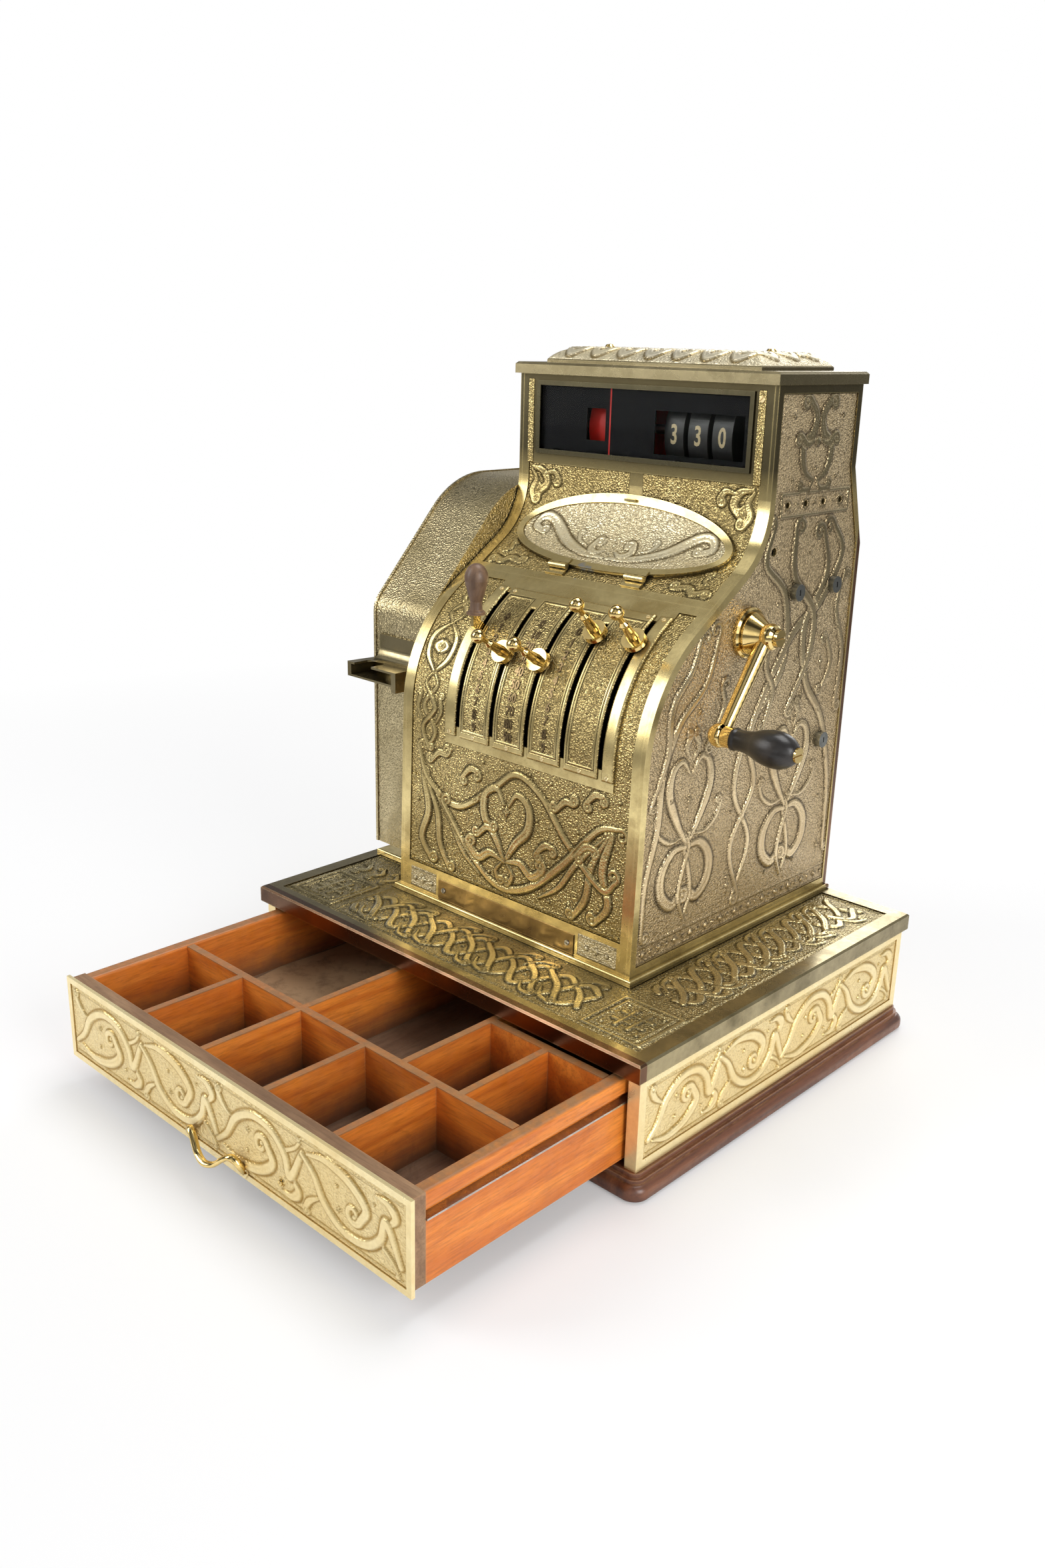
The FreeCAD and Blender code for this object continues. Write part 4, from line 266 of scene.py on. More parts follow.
def wood(name, along, light, mid, dark, rough=0.34, coat=0.25, worn_above=None, darker_below=None,
         scale=1.0, dents=0.5):
    """Varnished wood whose grain runs along one axis, with pale worn edges, darker low down."""
    f = Finish(name, Coat_Weight=coat, Coat_Roughness=0.22)
    lengthways = {"X": (0.09, 1.0, 1.0), "Y": (1.0, 0.09, 1.0), "Z": (1.0, 1.0, 0.09)}[along]
    place = f.stretched(*lengthways)
    rings = f.noise(46.0 * scale, 3.0, 0.5, 1.8, place)
    pores = f.noise(520.0 * scale, 4.0, 0.7, 0.3, place)
    cloud = f.noise(9.0, 4.0, 0.6)
    colour = f.mix(f.span(rings, 0.36, 0.64), light, mid)
    colour = f.mix(f.sum(f.span(pores, 0.45, 0.75), 0.5, "MULTIPLY"), colour, dark)
    colour = f.mix(f.sum(f.span(cloud, 0.5, 0.8), 0.55, "MULTIPLY"), colour, dark)
    stains = f.span(f.noise(30.0, 6.0, 0.75, 1.2), 0.6, 0.76)
    colour = f.mix(f.sum(stains, 0.45, "MULTIPLY"), colour, tuple(c * 0.35 for c in dark))
    wear = f.span(f.noise(120.0, 5.0, 0.65), 0.3, 0.6)
    edge = f.sum(f.edges(0.0022), f.sum(wear, 0.75, "MULTIPLY"), "MULTIPLY")
    colour = f.mix(edge, colour, (0.42, 0.225, 0.095))
    if worn_above is not None:
        top = f.span(f.axis("Z"), worn_above - 0.0014, worn_above - 0.0002)
        colour = f.mix(f.sum(top, f.span(wear, 0.0, 1.0, 0.55, 0.95), "MULTIPLY"), colour,
                       f.mix(f.noise(75.0, 5.0, 0.6), (0.36, 0.19, 0.08), (0.19, 0.085, 0.033)))
    # darker towards the drawer floor, on the faces inside the drawer
    if darker_below is not None:
        low = f.span(f.sum(f.axis("Z"), f.sum(f.noise(60.0, 4.0), 0.016, "MULTIPLY"), "SUBTRACT"),
                     darker_below + 0.022, darker_below - 0.006)
        sideways = f.sum(f.axis("X"), 0.0, "ABSOLUTE")
        low = f.sum(low, f.span(sideways, DRAWER_INSIDE + 0.0008, DRAWER_INSIDE), "MULTIPLY")
        colour = f.mix(f.sum(low, 0.8, "MULTIPLY"), colour, (0.085, 0.055, 0.035))
    normal = f.bump(pores, 0.25, 0.0002)
    normal = f.bump(f.noise(70.0, 5.0, 0.6), dents * 0.3, 0.0006, normal)
    return f.finish(colour, f.span(wear, 0.0, 1.0, rough, rough + 0.25), normal)


def painted(name, colour, dust, rough, scale=160.0, gloss=0.5):
    """Enamel, paper or ebonised wood in one colour, dusty and slightly uneven."""
    f = Finish(name, Specular_IOR_Level=gloss)
    specks = f.span(f.noise(scale, 6.0, 0.72), 0.48, 0.8)
    normal = f.bump(f.noise(scale * 4, 4.0, 0.6), 0.2, 0.0001)
    return f.finish(f.mix(specks, colour, dust), f.span(specks, 0.0, 1.0, rough, rough + 0.25),
                    normal)


def clear_glass():
    """Thin, faintly dusty glass."""
    f = Finish("window_glass_look", Transmission_Weight=1.0, IOR=1.1)
    dust = f.span(f.noise(40.0, 6.0, 0.7), 0.45, 0.9, 0.01, 0.09)
    return f.finish((0.96, 0.98, 0.97, 1.0), dust, f.bump(f.noise(12.0, 2.0), 0.05, 0.0004))


CAST = dict(bright=(0.95, 0.77, 0.36), dull=(0.55, 0.415, 0.165), grime_and_shade=(0.065, 0.047, 0.016),
            metallic=0.88)
OLIVE = dict(bright=(0.46, 0.385, 0.22), dull=(0.21, 0.17, 0.085), grime_and_shade=(0.035, 0.029, 0.015))
# brass lightened to cream and made less metallic: painted bright reflection of the white floor and
# wall
PALE = dict(bright=(1.0, 0.86, 0.50), dull=(0.95, 0.76, 0.38), grime_and_shade=(0.44, 0.27, 0.06),
            metallic=0.6)

LOOKS = {
    "cast": brass("cast_brass_rims", **CAST, rough=(0.16, 0.32),
                  # darker above about 0.5 m: painted dark reflection on the upper cabinet
                  high=(0.485, 0.515, 0.93, ((0.11, 0.092, 0.05), (0.05, 0.042, 0.024))),
                  back=(0.1925, ((0.26, 0.14, 0.085), (0.13, 0.07, 0.05))),
                  patch=((-0.0116, -0.003, 0.4198), 0.0225, (0.46, 0.45, 0.41))),
    "cast_relief": brass("cast_brass_relief", **CAST, rough=(0.19, 0.35), stipple=1.0, relief=True),
    "side_relief": brass("side_brass_relief", bright=(1.0, 0.80, 0.48), dull=(0.74, 0.56, 0.315),
                         grime_and_shade=(0.10, 0.07, 0.035), rough=(0.2, 0.36), stipple=0.9, relief=True,
                         metallic=0.86,
                         # darker towards the top, most on raised parts: painted dark reflection on
                         # the upper side panel
                         high=(0.25, 0.46, 0.85, ((0.21, 0.19, 0.10), (0.10, 0.09, 0.05)))),
    "door_relief": brass("door_brass_relief", bright=(1.0, 0.90, 0.62), dull=(0.93, 0.78, 0.47),
                         grime_and_shade=(0.16, 0.115, 0.045), rough=(0.22, 0.38), stipple=0.9, relief=True,
                         metallic=0.7),
    "dome_relief": brass("dome_brass_relief", bright=(1.0, 0.93, 0.74), dull=(0.90, 0.79, 0.52),
                         grime_and_shade=(0.24, 0.17, 0.06), rough=(0.26, 0.42), stipple=0.7, relief=True,
                         metallic=0.7),
    "stippled": brass("stippled_brass", bright=(0.78, 0.65, 0.38), dull=(0.50, 0.41, 0.22),
                      grime_and_shade=(0.10, 0.078, 0.035), rough=(0.26, 0.44), stipple=1.3),
    "olive": brass("dark_olive_brass", **OLIVE, rough=(0.2, 0.38)),
    "dark_frame": brass("dark_window_frame", bright=(0.15, 0.13, 0.075), dull=(0.075, 0.064, 0.035),
                        grime_and_shade=(0.02, 0.017, 0.01), rough=(0.24, 0.42)),
    "olive_relief": brass("olive_brass_relief", bright=(0.90, 0.75, 0.39), dull=(0.33, 0.26, 0.12),
                          grime_and_shade=(0.075, 0.058, 0.026), rough=(0.2, 0.36), stipple=0.9, relief=True,
                          metallic=0.92),
    "slab": brass("slab_brass", **OLIVE, rough=(0.18, 0.34),
                  front=(-0.1893, ((0.20, 0.105, 0.06), (0.085, 0.048, 0.03)))),
    # painted shade: the raised figures get a dark tone that stands in for the shadow round them
    "figure": brass("painted_shade_figures", bright=(0.24, 0.17, 0.085), dull=(0.13, 0.09, 0.045),
                    grime_and_shade=(0.03, 0.022, 0.012), rough=(0.25, 0.4)),
    "brown": brass("brown_plate_brass", bright=(0.36, 0.25, 0.11), dull=(0.20, 0.13, 0.06),
                   grime_and_shade=(0.05, 0.03, 0.018), rough=(0.16, 0.3)),
    "pale": brass("pale_reflection_brass", **PALE, rough=(0.26, 0.42)),
    "pale_relief": brass("pale_reflection_relief", **PALE, rough=(0.28, 0.44), stipple=0.7, relief=True),
    "shiny": brass("polished_brass", bright=(0.96, 0.74, 0.32), dull=(0.85, 0.61, 0.22),
                   grime_and_shade=(0.30, 0.19, 0.07), rough=(0.07, 0.16), patina=30.0),
    "steel": brass("worn_steel", bright=(0.68, 0.66, 0.61), dull=(0.40, 0.36, 0.31),
                   grime_and_shade=(0.09, 0.06, 0.04), rough=(0.24, 0.5), patina=70.0),
    "grey_lock": brass("aged_nickel", bright=(0.34, 0.35, 0.33), dull=(0.21, 0.22, 0.21),
                       grime_and_shade=(0.06, 0.06, 0.055), rough=(0.28, 0.44), patina=90.0),
    "machinery": brass("dark_machinery", bright=(0.22, 0.20, 0.17), dull=(0.11, 0.10, 0.085),
                       grime_and_shade=(0.03, 0.028, 0.025), rough=(0.35, 0.6), patina=60.0),
    "glass": clear_glass(),
    "black": painted("black_enamel", (0.004, 0.004, 0.005), (0.012, 0.011, 0.010), 0.5, gloss=0.12),
    "wheel_black": painted("black_wheel", (0.016, 0.015, 0.014), (0.05, 0.045, 0.04), 0.42),
    "red": painted("red_enamel", (0.68, 0.016, 0.008), (0.52, 0.03, 0.016), 0.45),
    "paper": painted("aged_paper", (0.38, 0.24, 0.125), (0.13, 0.075, 0.038), 0.8, scale=45.0),
    "ivory": painted("ivory_enamel", (0.66, 0.53, 0.30), (0.46, 0.34, 0.17), 0.45),
    "grip": wood("turned_grip", "Z", light=(0.20, 0.115, 0.065), mid=(0.11, 0.06, 0.033),
                 dark=(0.045, 0.022, 0.012), rough=0.4, coat=0.2, scale=2.5),
    "ebony": painted("ebonised_grip", (0.018, 0.016, 0.015), (0.05, 0.04, 0.032), 0.3, scale=50.0),
}
ORANGE = dict(light=(0.80, 0.255, 0.030), mid=(0.60, 0.155, 0.014), dark=(0.20, 0.042, 0.008))
for grain_axis in "XY":
    low_axis = grain_axis.lower()
    for key, kind, drop in (("wood", "drawer", 0.0), ("divider", "divider", 0.001)):
        LOOKS[f"{key}_{low_axis}"] = wood(f"{kind}_wood_{low_axis}", grain_axis, **ORANGE,
                                          worn_above=DRAWER_TOP - drop, darker_below=DRAWER_FLOOR)
LOOKS["front_top"] = wood("front_board_wood", "X", light=(0.34, 0.20, 0.105),
                          mid=(0.22, 0.12, 0.06), dark=(0.09, 0.045, 0.022), rough=0.5, coat=0.1)
LOOKS["floor"] = wood("drawer_floor_wood", "Y", light=(0.21, 0.12, 0.065), mid=(0.15, 0.08, 0.042),
                      dark=(0.07, 0.038, 0.02), rough=0.6, coat=0.0)
LOOKS["dark_wood"] = wood("plinth_wood", "Y", light=(0.20, 0.070, 0.028), mid=(0.085, 0.025, 0.011),
                          dark=(0.018, 0.007, 0.004), rough=0.3, coat=0.4, dents=0.9)
LOOKS["wall_wood"] = wood("case_wall_wood", "Y", light=(0.12, 0.05, 0.025), mid=(0.08, 0.03, 0.015),
                          dark=(0.03, 0.012, 0.007), rough=0.45)

NODE_LOOKS = {
    "cast": "lower_front side_panel_left side_panel_right back_panel cabinet_foot"
            " door_hinges oval_door scale_plates upper_front",
    "olive": "cornice top_dome printer_chute",
    "dark_frame": "window_frame",
    "slab": "base_top",
    "brown": "serial_plate",
    "pale": "base_panel_left base_panel_right base_panel_back drawer_front_plate",
    "stippled": "printer_cover",
    "shiny": "crank_arm crank_escutcheon crank_fasteners drawer_pull dome_nuts lever_hundreds"
             " lever_tens lever_units lever_parts sale_lever_arm",
    "steel": "drawer_strips runner_rails",
    "grey_lock": "lock_bodies lock_plug_front lock_plug_rear lock_plug_low",
    "machinery": "side_frames cross_shafts rack_sale rack_hundreds rack_tens rack_units bell",
    "glass": "window_glass",
    "black": "indicator_mask",
    "wheel_black": "wheel_hundreds wheel_tens wheel_units",
    "red": "sale_flag_drum",
    "grip": "sale_lever_grip",
    "ebony": "crank_grip",
    "wood_x": "drawer_back",
    "front_top": "drawer_front",
    "wood_y": "drawer_side_left drawer_side_right",
    "divider_x": "drawer_cross_partition",
    "divider_y": "drawer_dividers",
    "floor": "drawer_bottom",
    "dark_wood": "plinth_board",
    "wall_wood": "base_walls",
}
for look, names in NODE_LOOKS.items():
    for node_name in names.split():
        mesh = NODES[node_name].data
        mesh.materials.clear()
        mesh.materials.append(LOOKS[look])


# ------------------------------------------------------------------ outline of the cabinet

class Outline:
    """A line in the Y-Z plane that is walked by its length, with its outward normal."""

    def __init__(self, points):
        self.points = np.array(points)
        steps = np.diff(self.points, axis=0)
        lengths = np.hypot(*steps.T)
        self.at = np.concatenate([[0.0], np.cumsum(lengths)])
        tangent = np.gradient(self.points, self.at, axis=0)
        tangent /= np.hypot(*tangent.T)[:, None]
        self.normals = np.stack([-tangent[:, 1], tangent[:, 0]], axis=1)

    def place(self, x, s, h):
        y, z = (np.interp(s, self.at, self.points[:, k]) for k in (0, 1))
        ny, nz = (np.interp(s, self.at, self.normals[:, k]) for k in (0, 1))
        return x + 0 * s, y + ny * h, z + nz * h

    def s_of(self, z):
        return float(np.interp(z, self.points[:, 1], self.at))


def arc(cy, cz, radius, start, end, count=90):
    """Points round a circle; the angle is from upright, positive towards the front."""
    angles = np.radians(np.linspace(start, end, count))
    return [(cy - radius * math.sin(a), cz + radius * math.cos(a)) for a in angles]


def straight(a, b, count=30):
    """Evenly spaced points from a to b."""
    return [tuple(np.array(a) + (np.array(b) - a) * t) for t in np.linspace(0, 1, count)]


RAMP_START = (NOSE_Y - NOSE_R * math.sin(RAMP), NOSE_Z + NOSE_R * math.cos(RAMP))
RAMP_END_Y = FRONT_Y - COVE_R + COVE_R * math.sin(RAMP)
RAMP_END = (RAMP_END_Y, RAMP_START[1] + (RAMP_END_Y - RAMP_START[0]) * math.tan(RAMP))
COVE = (FRONT_Y - COVE_R, RAMP_END[1] + COVE_R * math.cos(RAMP))
COVE_TURN = [(COVE[0] + COVE_R * math.sin(a), COVE[1] - COVE_R * math.cos(a))
             for a in np.linspace(RAMP, math.pi / 2, 60)]
FRONT_LINE = straight((FOOT_FRONT, FLOOR), (NOSE_Y - NOSE_R, NOSE_Z), 60)
FRONT = Outline(FRONT_LINE[:-1] + arc(NOSE_Y, NOSE_Z, NOSE_R, 90, RAMP_ANGLE) +
                straight(RAMP_START, RAMP_END)[1:-1] + COVE_TURN +
                straight((FRONT_Y, COVE[1]), (FRONT_Y, CABINET_TOP))[1:])
STRAIGHT_LENGTH = math.hypot(FOOT_FRONT - NOSE_Y + NOSE_R, NOSE_Z - FLOOR)


def s_at_angle(angle):
    """Length along the front at an angle of the nose."""
    return STRAIGHT_LENGTH + NOSE_R * math.radians(90 - angle)


RAMP_S = s_at_angle(RAMP_ANGLE)
SEAM_S = RAMP_S + 29.0


# ------------------------------------------------------------------ relief fields

def smooth(low, high, value):
    """A soft step from 0 to 1 between two values."""
    t = np.clip((value - low) / (high - low), 0, 1)
    return t * t * (3 - 2 * t)


def spline(points, shares):
    """A Catmull-Rom line through points, as one run of points for each part."""
    p = np.vstack([2 * points[0] - points[1], points, 2 * points[-1] - points[-2]])
    t = shares[:, None]
    return [0.5 * (2 * b + (c - a) * t + (2 * a - 5 * b + 4 * c - d) * t ** 2
                   + (3 * b - a - 3 * c + d) * t ** 3)
            for a, b, c, d in zip(p, p[1:], p[2:], p[3:])]


SPACING = 0.55  # mm between the points of a stroke's line
CURL_TURNS, CURL_TIGHTENS = 1.1, 0.72  # turns of a spiral, and the share its radius loses
UNTOUCHED = 9.0  # distance, in half widths, of what no stroke comes near


def curve(points):
    """A smooth line through points, with even spacing."""
    p = np.array(points, float)
    if len(p) == 2:
        dense = p[0] + (p[1] - p[0]) * np.linspace(0, 1, 40)[:, None]
    else:
        dense = np.vstack(spline(p, np.linspace(0, 1, 26)))
    at = np.concatenate([[0], np.cumsum(np.hypot(*np.diff(dense, axis=0).T))])
    keep = np.concatenate([[True], np.diff(at) > 1e-6])
    count = max(4, int(at[-1] / SPACING))
    along = np.linspace(0, at[-1], count)
    return np.stack([np.interp(along, at[keep], dense[keep, k]) for k in (0, 1)], axis=1)


def curled(line, radius):
    """The line carried on into a spiral that tightens; a negative radius turns right."""
    heading, full = math.atan2(*(line[-1] - line[-3])[::-1]), CURL_TURNS * 2 * math.pi
    side, size = math.copysign(1, radius), abs(radius)
    points, spot, turned = [], line[-1].copy(), 0.0
    while turned < full:
        now = size * (1 - CURL_TIGHTENS * turned / full)
        step = SPACING / now
        heading += side * step
        turned += step
        spot = spot + SPACING * np.array([math.cos(heading), math.sin(heading)])
        points.append(spot)
    return np.vstack([line, points])


def leaf(points, widths, end=0, start=0):
    """A stroke with a hollow along its middle; end and start are the radii of its curls."""
    return points, widths, end, start, "leaf"


def ribbon(points, widths, end=0, start=0):
    """A flat stroke with raised borders."""
    return points, widths, end, start, "ribbon"


def bead(points, widths, end=0, start=0):
    """A round stroke."""
    return points, widths, end, start, "bead"


class Relief:
    """Raised ornament over a rectangle of a surface, as heights on a grid."""

    def __init__(self, low, high, step, bold=1.0):
        self.low, self.step, self.bold = np.array(low, float), step, bold
        self.count = [int(round((b - a) / step)) + 1 for a, b in zip(low, high)]
        self.u = np.linspace(low[0], high[0], self.count[0])
        self.v = np.linspace(low[1], high[1], self.count[1])
        self.h = np.zeros((self.count[1], self.count[0]))
        self.near = np.full_like(self.h, UNTOUCHED)

    def spread(self, line, half):
        """Distance to the line as a share of its half width, near the line."""
        reach = 2.0 * half.max() + 2 * self.step
        lo = np.maximum(((line.min(0) - reach - self.low) / self.step).astype(int), 0)
        hi = np.minimum(((line.max(0) + reach - self.low) / self.step).astype(int) + 2,
                        np.array(self.count))
        if (hi <= lo).any():
            return None
        window = (slice(lo[1], hi[1]), slice(lo[0], hi[0]))
        share = np.full((hi[1] - lo[1], hi[0] - lo[0]), UNTOUCHED)
        u, v = self.u[window[1]], self.v[window[0]]
        for (pu, pv), w in zip(line, half):
            r = 2.0 * w + self.step
            a, b = np.searchsorted(u, (pu - r, pu + r))
            c, d = np.searchsorted(v, (pv - r, pv + r))
            if a < b and c < d:
                gap = np.hypot(u[a:b][None] - pu, v[c:d][:, None] - pv) / w
                np.minimum(share[c:d, a:b], gap, out=share[c:d, a:b])
        return window, share

    def stroke(self, line, widths, height=1.0, kind="leaf", over=True):
        """A raised band along the line; its half width follows the given values."""
        half = np.interp(np.linspace(0, 1, len(line)), np.linspace(0, 1, len(widths)), widths)
        found = self.spread(line, np.maximum(half, 0.35))
        if found is None:
            return
        window, share = found
        round_top = np.sqrt(np.clip(1 - share ** 2, 0, 1))
        if kind == "ribbon":
            shape = smooth(0, 0.42, 1 - share) * (0.86 + 0.14 * np.clip(share, 0, 1) ** 2)
        elif kind == "leaf":
            shape = round_top ** 0.8 - 0.34 * np.exp(-(share / 0.38) ** 2)
        else:
            shape = round_top
        here = self.h[window]
        if over:
            here *= np.clip(smooth(1.0, 1.5, share) + 0.12, 0, 1)
        np.maximum(here, height * shape, out=here)
        np.minimum(self.near[window], share, out=self.near[window])

    def dot(self, u, v, radius, height=1.0):
        self.stroke(np.array([[u, v], [u + 0.01, v]]), (radius, radius), height, "bead")

    def dots(self, spots, radius, middle=0.0):
        for u, v in spots:
            self.dot(u, middle + v, radius)

    def bar(self, a, b, half, height, kind="bead", over=False):
        """A straight stroke of one width."""
        self.stroke(curve([a, b]), (half, half), height, kind, over)

    def loop(self, corners, half, height, kind="bead"):
        """Bars from corner to corner and back to the first."""
        for a, b in zip(corners, corners[1:] + corners[:1]):
            self.bar(a, b, half, height, kind)

    def diamond(self, u, v, a, b, height=0.9, hollow=True):
        """A four-pointed star with curved sides."""
        du = np.abs(self.u[None] - u) / a
        dv = np.abs(self.v[:, None] - v) / b
        share = (np.sqrt(du) + np.sqrt(dv)) ** 1.35
        shape = smooth(0, 0.4, 1 - share)
        if hollow:
            shape = shape * (1 - 0.8 * smooth(0.55, 0.25, share))
        np.maximum(self.h, height * shape, out=self.h)
        np.minimum(self.near, 1 + (share - 1) * 2, out=self.near, where=share > 0.9)

    def draw(self, strokes, shift=(0, 0), flip_u=False, flip_v=False, size=1.0):
        """Draws strokes of leaf(), ribbon() and bead(), moved, mirrored or scaled."""
        for points, widths, end, start, kind in strokes:
            line = curve(np.array(points, float))
            if end:
                line = curled(line, end)
            if start:
                line = curled(line[::-1], start)[::-1]
            line = line * size
            if flip_u:
                line = line * (-1, 1)
            if flip_v:
                line = line * (1, -1)
            line = line + shift
            self.stroke(line, np.array(widths) * size * self.bold, 1.0, kind)
            for tip, curl, width in ((line[-1], end, widths[-1]), (line[0], start, widths[0])):
                if curl:
                    self.dot(*tip, max(1.3, width * 1.25) * size * self.bold)


FADE = 1.2  # mm over which relief dies out at a field's edge
DIRT_SHADE_AT, DIRT_SHADE_WIDTH = 1.12, 0.26  # where dirt and painted shade gather beside a stroke, in half widths


def placed(name, body, mesh, look, replaced=None):
    """Puts a mesh in the scene as a piece that rides on a body."""
    mesh.materials.append(LOOKS[look])
    piece = bpy.data.objects.new(name, mesh)
    bpy.context.scene.collection.objects.link(piece)
    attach(piece, body)
    if replaced:
        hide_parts(*replaced)


def skin(name, body, relief, place, look, amount, ground=0.25, depth=-0.12, inside=None,
         double=False, replaced=None):
    """A closed skin that lies in a sunk field and carries the relief."""
    u, v = np.meshgrid(relief.u, relief.v)
    step = relief.step
    if inside is None:
        keep = np.ones(u.shape, bool)
        margin = np.minimum(np.minimum(u - relief.u[0], relief.u[-1] - u),
                            np.minimum(v - relief.v[0], relief.v[-1] - v))
    else:
        margin = inside(u, v)
        gv, gu = np.gradient(margin, step)
        norm = np.maximum(np.hypot(gu, gv), 1e-6)
        outer = (margin < 0) & (margin > -1.5 * step)
        u = np.where(outer, u - margin * gu / norm, u)
        v = np.where(outer, v - margin * gv / norm, v)
        keep = margin > -1.5 * step
    h = relief.h * smooth(0.0, FADE, margin)
    quads = keep[:-1, :-1] & keep[1:, :-1] & keep[:-1, 1:] & keep[1:, 1:]
    core = margin > 0
    quads &= core[:-1, :-1] | core[1:, :-1] | core[:-1, 1:] | core[1:, 1:]
    index = np.arange(u.size).reshape(u.shape)
    a, b = index[:-1, :-1][quads], index[:-1, 1:][quads]
    c, d = index[1:, 1:][quads], index[1:, :-1][quads]
    faces = np.stack([a, b, c, d], axis=1)
    used = np.unique(faces)
    remap = np.full(u.size, -1)
    remap[used] = np.arange(len(used))
    faces = remap[faces]
    fu, fv, fh = u.ravel()[used], v.ravel()[used], h.ravel()[used]
    top = np.stack(place(fu, fv, ground + amount * fh), axis=1)
    edges = np.concatenate([faces[:, [k, (k + 1) % 4]] for k in range(4)])
    key = edges[:, 0].astype(np.int64) * len(used) + edges[:, 1]
    back_key = edges[:, 1].astype(np.int64) * len(used) + edges[:, 0]
    rim = edges[~np.isin(key, back_key)]
    count = len(used)
    if double:
        low = np.stack(place(fu, fv, np.full_like(fu, depth)), axis=1)
        verts = np.vstack([top, low])
        under = faces[:, ::-1] + count
        walls = np.stack([rim[:, 1], rim[:, 0], rim[:, 0] + count, rim[:, 1] + count], axis=1)
        polygons = np.vstack([faces, under, walls]).tolist()
    else:
        ring = np.unique(rim)
        place_of = np.full(count, -1)
        place_of[ring] = np.arange(len(ring)) + count
        low = np.stack(place(fu[ring], fv[ring], np.full(len(ring), depth)), axis=1)
        verts = np.vstack([top, low])
        walls = np.stack([rim[:, 1], rim[:, 0], place_of[rim[:, 0]], place_of[rim[:, 1]]], axis=1)
        loops, following = [], dict(rim.tolist())
        while following:
            start, now = next(iter(following.items()))
            loop = [start]
            del following[start]
            while now != start and now in following:
                loop.append(now)
                now = following.pop(now)
            loops.append(loop)
        flat = [[Vector((fu[i], fv[i], 0)) for i in loop] for loop in loops]
        names = [place_of[i] for loop in loops for i in loop]
        polygons = faces.tolist() + walls.tolist()
        for tri in tessellate_polygon(flat):
            corners = [names[i] for i in tri]
            p, q, r = ((fu[ring[i - count]], fv[ring[i - count]]) for i in corners)
            turn = (q[0] - p[0]) * (r[1] - p[1]) - (q[1] - p[1]) * (r[0] - p[0])
            polygons.append(corners if turn < 0 else corners[::-1])
    mesh = bpy.data.meshes.new(name)
    mesh.from_pydata((verts * MM).tolist(), [], polygons)
    origin = np.stack(place(fu[:1], fv[:1], np.array([0.0])), axis=1)[0]
    outward = np.stack(place(fu[:1], fv[:1], np.array([1.0])), axis=1)[0] - origin
    if np.dot(np.array(mesh.polygons[0].normal), outward) < 0:
        mesh.flip_normals()
    near = relief.near.ravel()[used]
    values = {"lift": np.clip(fh, 0, 1), "dirt_and_shade": np.exp(-((near - DIRT_SHADE_AT) / DIRT_SHADE_WIDTH) ** 2)}
    for key_name, data in values.items():
        full = np.zeros(len(verts), np.float32)
        full[:count] = data
        mesh.attributes.new(key_name, "FLOAT", "POINT").data.foreach_set("value", full)
    smooth_faces = np.zeros(len(mesh.polygons), bool)
    smooth_faces[:len(faces)] = True
    mesh.polygons.foreach_set("use_smooth", smooth_faces)
    placed(name, body, mesh, look, replaced)


# ------------------------------------------------------------------ ornament

def rinceau(relief, start, end, middle, reach, waves, width):
    """A running stem with a spiral, a leaf and beads in each half wave."""
    run = (end - start) / waves
    for wave in range(waves):
        side = 1 if wave % 2 == 0 else -1
        left = start + wave * run
        centre = left + run / 2

        def at(pairs):
            return [(left + a * run, middle + side * b * reach) for a, b in pairs]
        stem = at([(0.0, -0.72), (0.12, -0.3), (0.24, 0.42), (0.44, 0.86), (0.66, 0.78), (0.8, 0.3),
                   (0.86, -0.32), (1.0, 0.72)])
        spiral = at([(0.06, -0.8), (0.26, -0.98), (0.5, -0.8), (0.66, -0.3), (0.6, 0.22)])
        blade = at([(0.86, -0.2), (0.95, -0.62), (0.88, -0.92), (0.76, -0.94)])
        tendril = at([(0.2, 0.3), (0.08, 0.62), (0.02, 0.95)])
        sprig = at([(0.8, 0.42), (0.92, 0.72), (0.98, 1.0)])
        size = reach * 0.3
        relief.draw([leaf(spiral, (1.0, width, width * 1.15, width * 0.8, 1.2), size * side),
                     leaf(blade, (0.9, width * 1.1, 0.8)),
                     leaf(tendril, (0.7, width * 0.8, 1.0), -2.6 * side),
                     leaf(sprig, (1.5, 1.2, 0.6), 2.2 * side),
                     ribbon(stem, (width * 0.6, width, width, width, width, width * 0.7))])
        relief.dot(left + 0.36 * run, middle - 0.42 * reach * side, 1.5)
        relief.dot(left + 0.74 * run, middle - 0.62 * reach * side, 1.2)
        relief.diamond(centre - 0.12 * run, middle + 0.28 * reach * side, 3.4, 5.0)


def frieze_panel(name, body, place, low, high):
    """A long panel with a thin border and a running stem of four waves."""
    relief = Relief(low, high, 0.8, 1.35)
    border = 3.4
    for v in (low[1] + border, high[1] - border):
        relief.bar((low[0] + border, v), (high[0] - border, v), 0.55, 0.5, over=True)
    rinceau(relief, low[0] + 5, high[0] - 5, (low[1] + high[1]) / 2, (high[1] - low[1]) / 2 - 6.5,
            4, 2.9)
    skin(name, body, relief, place, "pale_relief", 1.8)


BASE_FACE, CABINET_FACE, DRAWER_FACE, SLAB_FIELD = 225.4, 138.8, -402.8, 113.8


def on_side(face, side):
    """Onto an upright face square to X; side 1 is the right, -1 the left."""
    return lambda u, v, h: (side * (face + h), u + 0 * h, v + 0 * h)


def on_drawer_front(u, v, h):
    return u + 0 * h, DRAWER_FACE - h, v + 0 * h


for side_name, side in (("right", 1), ("left", -1)):
    frieze_panel(f"relief_base_{side_name}", "register", on_side(BASE_FACE, side), (-183.1, 29.6),
                 (184.8, 91.8))
frieze_panel("relief_drawer_front", "drawer", on_drawer_front, (-209.8, 29.1), (209.8, 92.7))


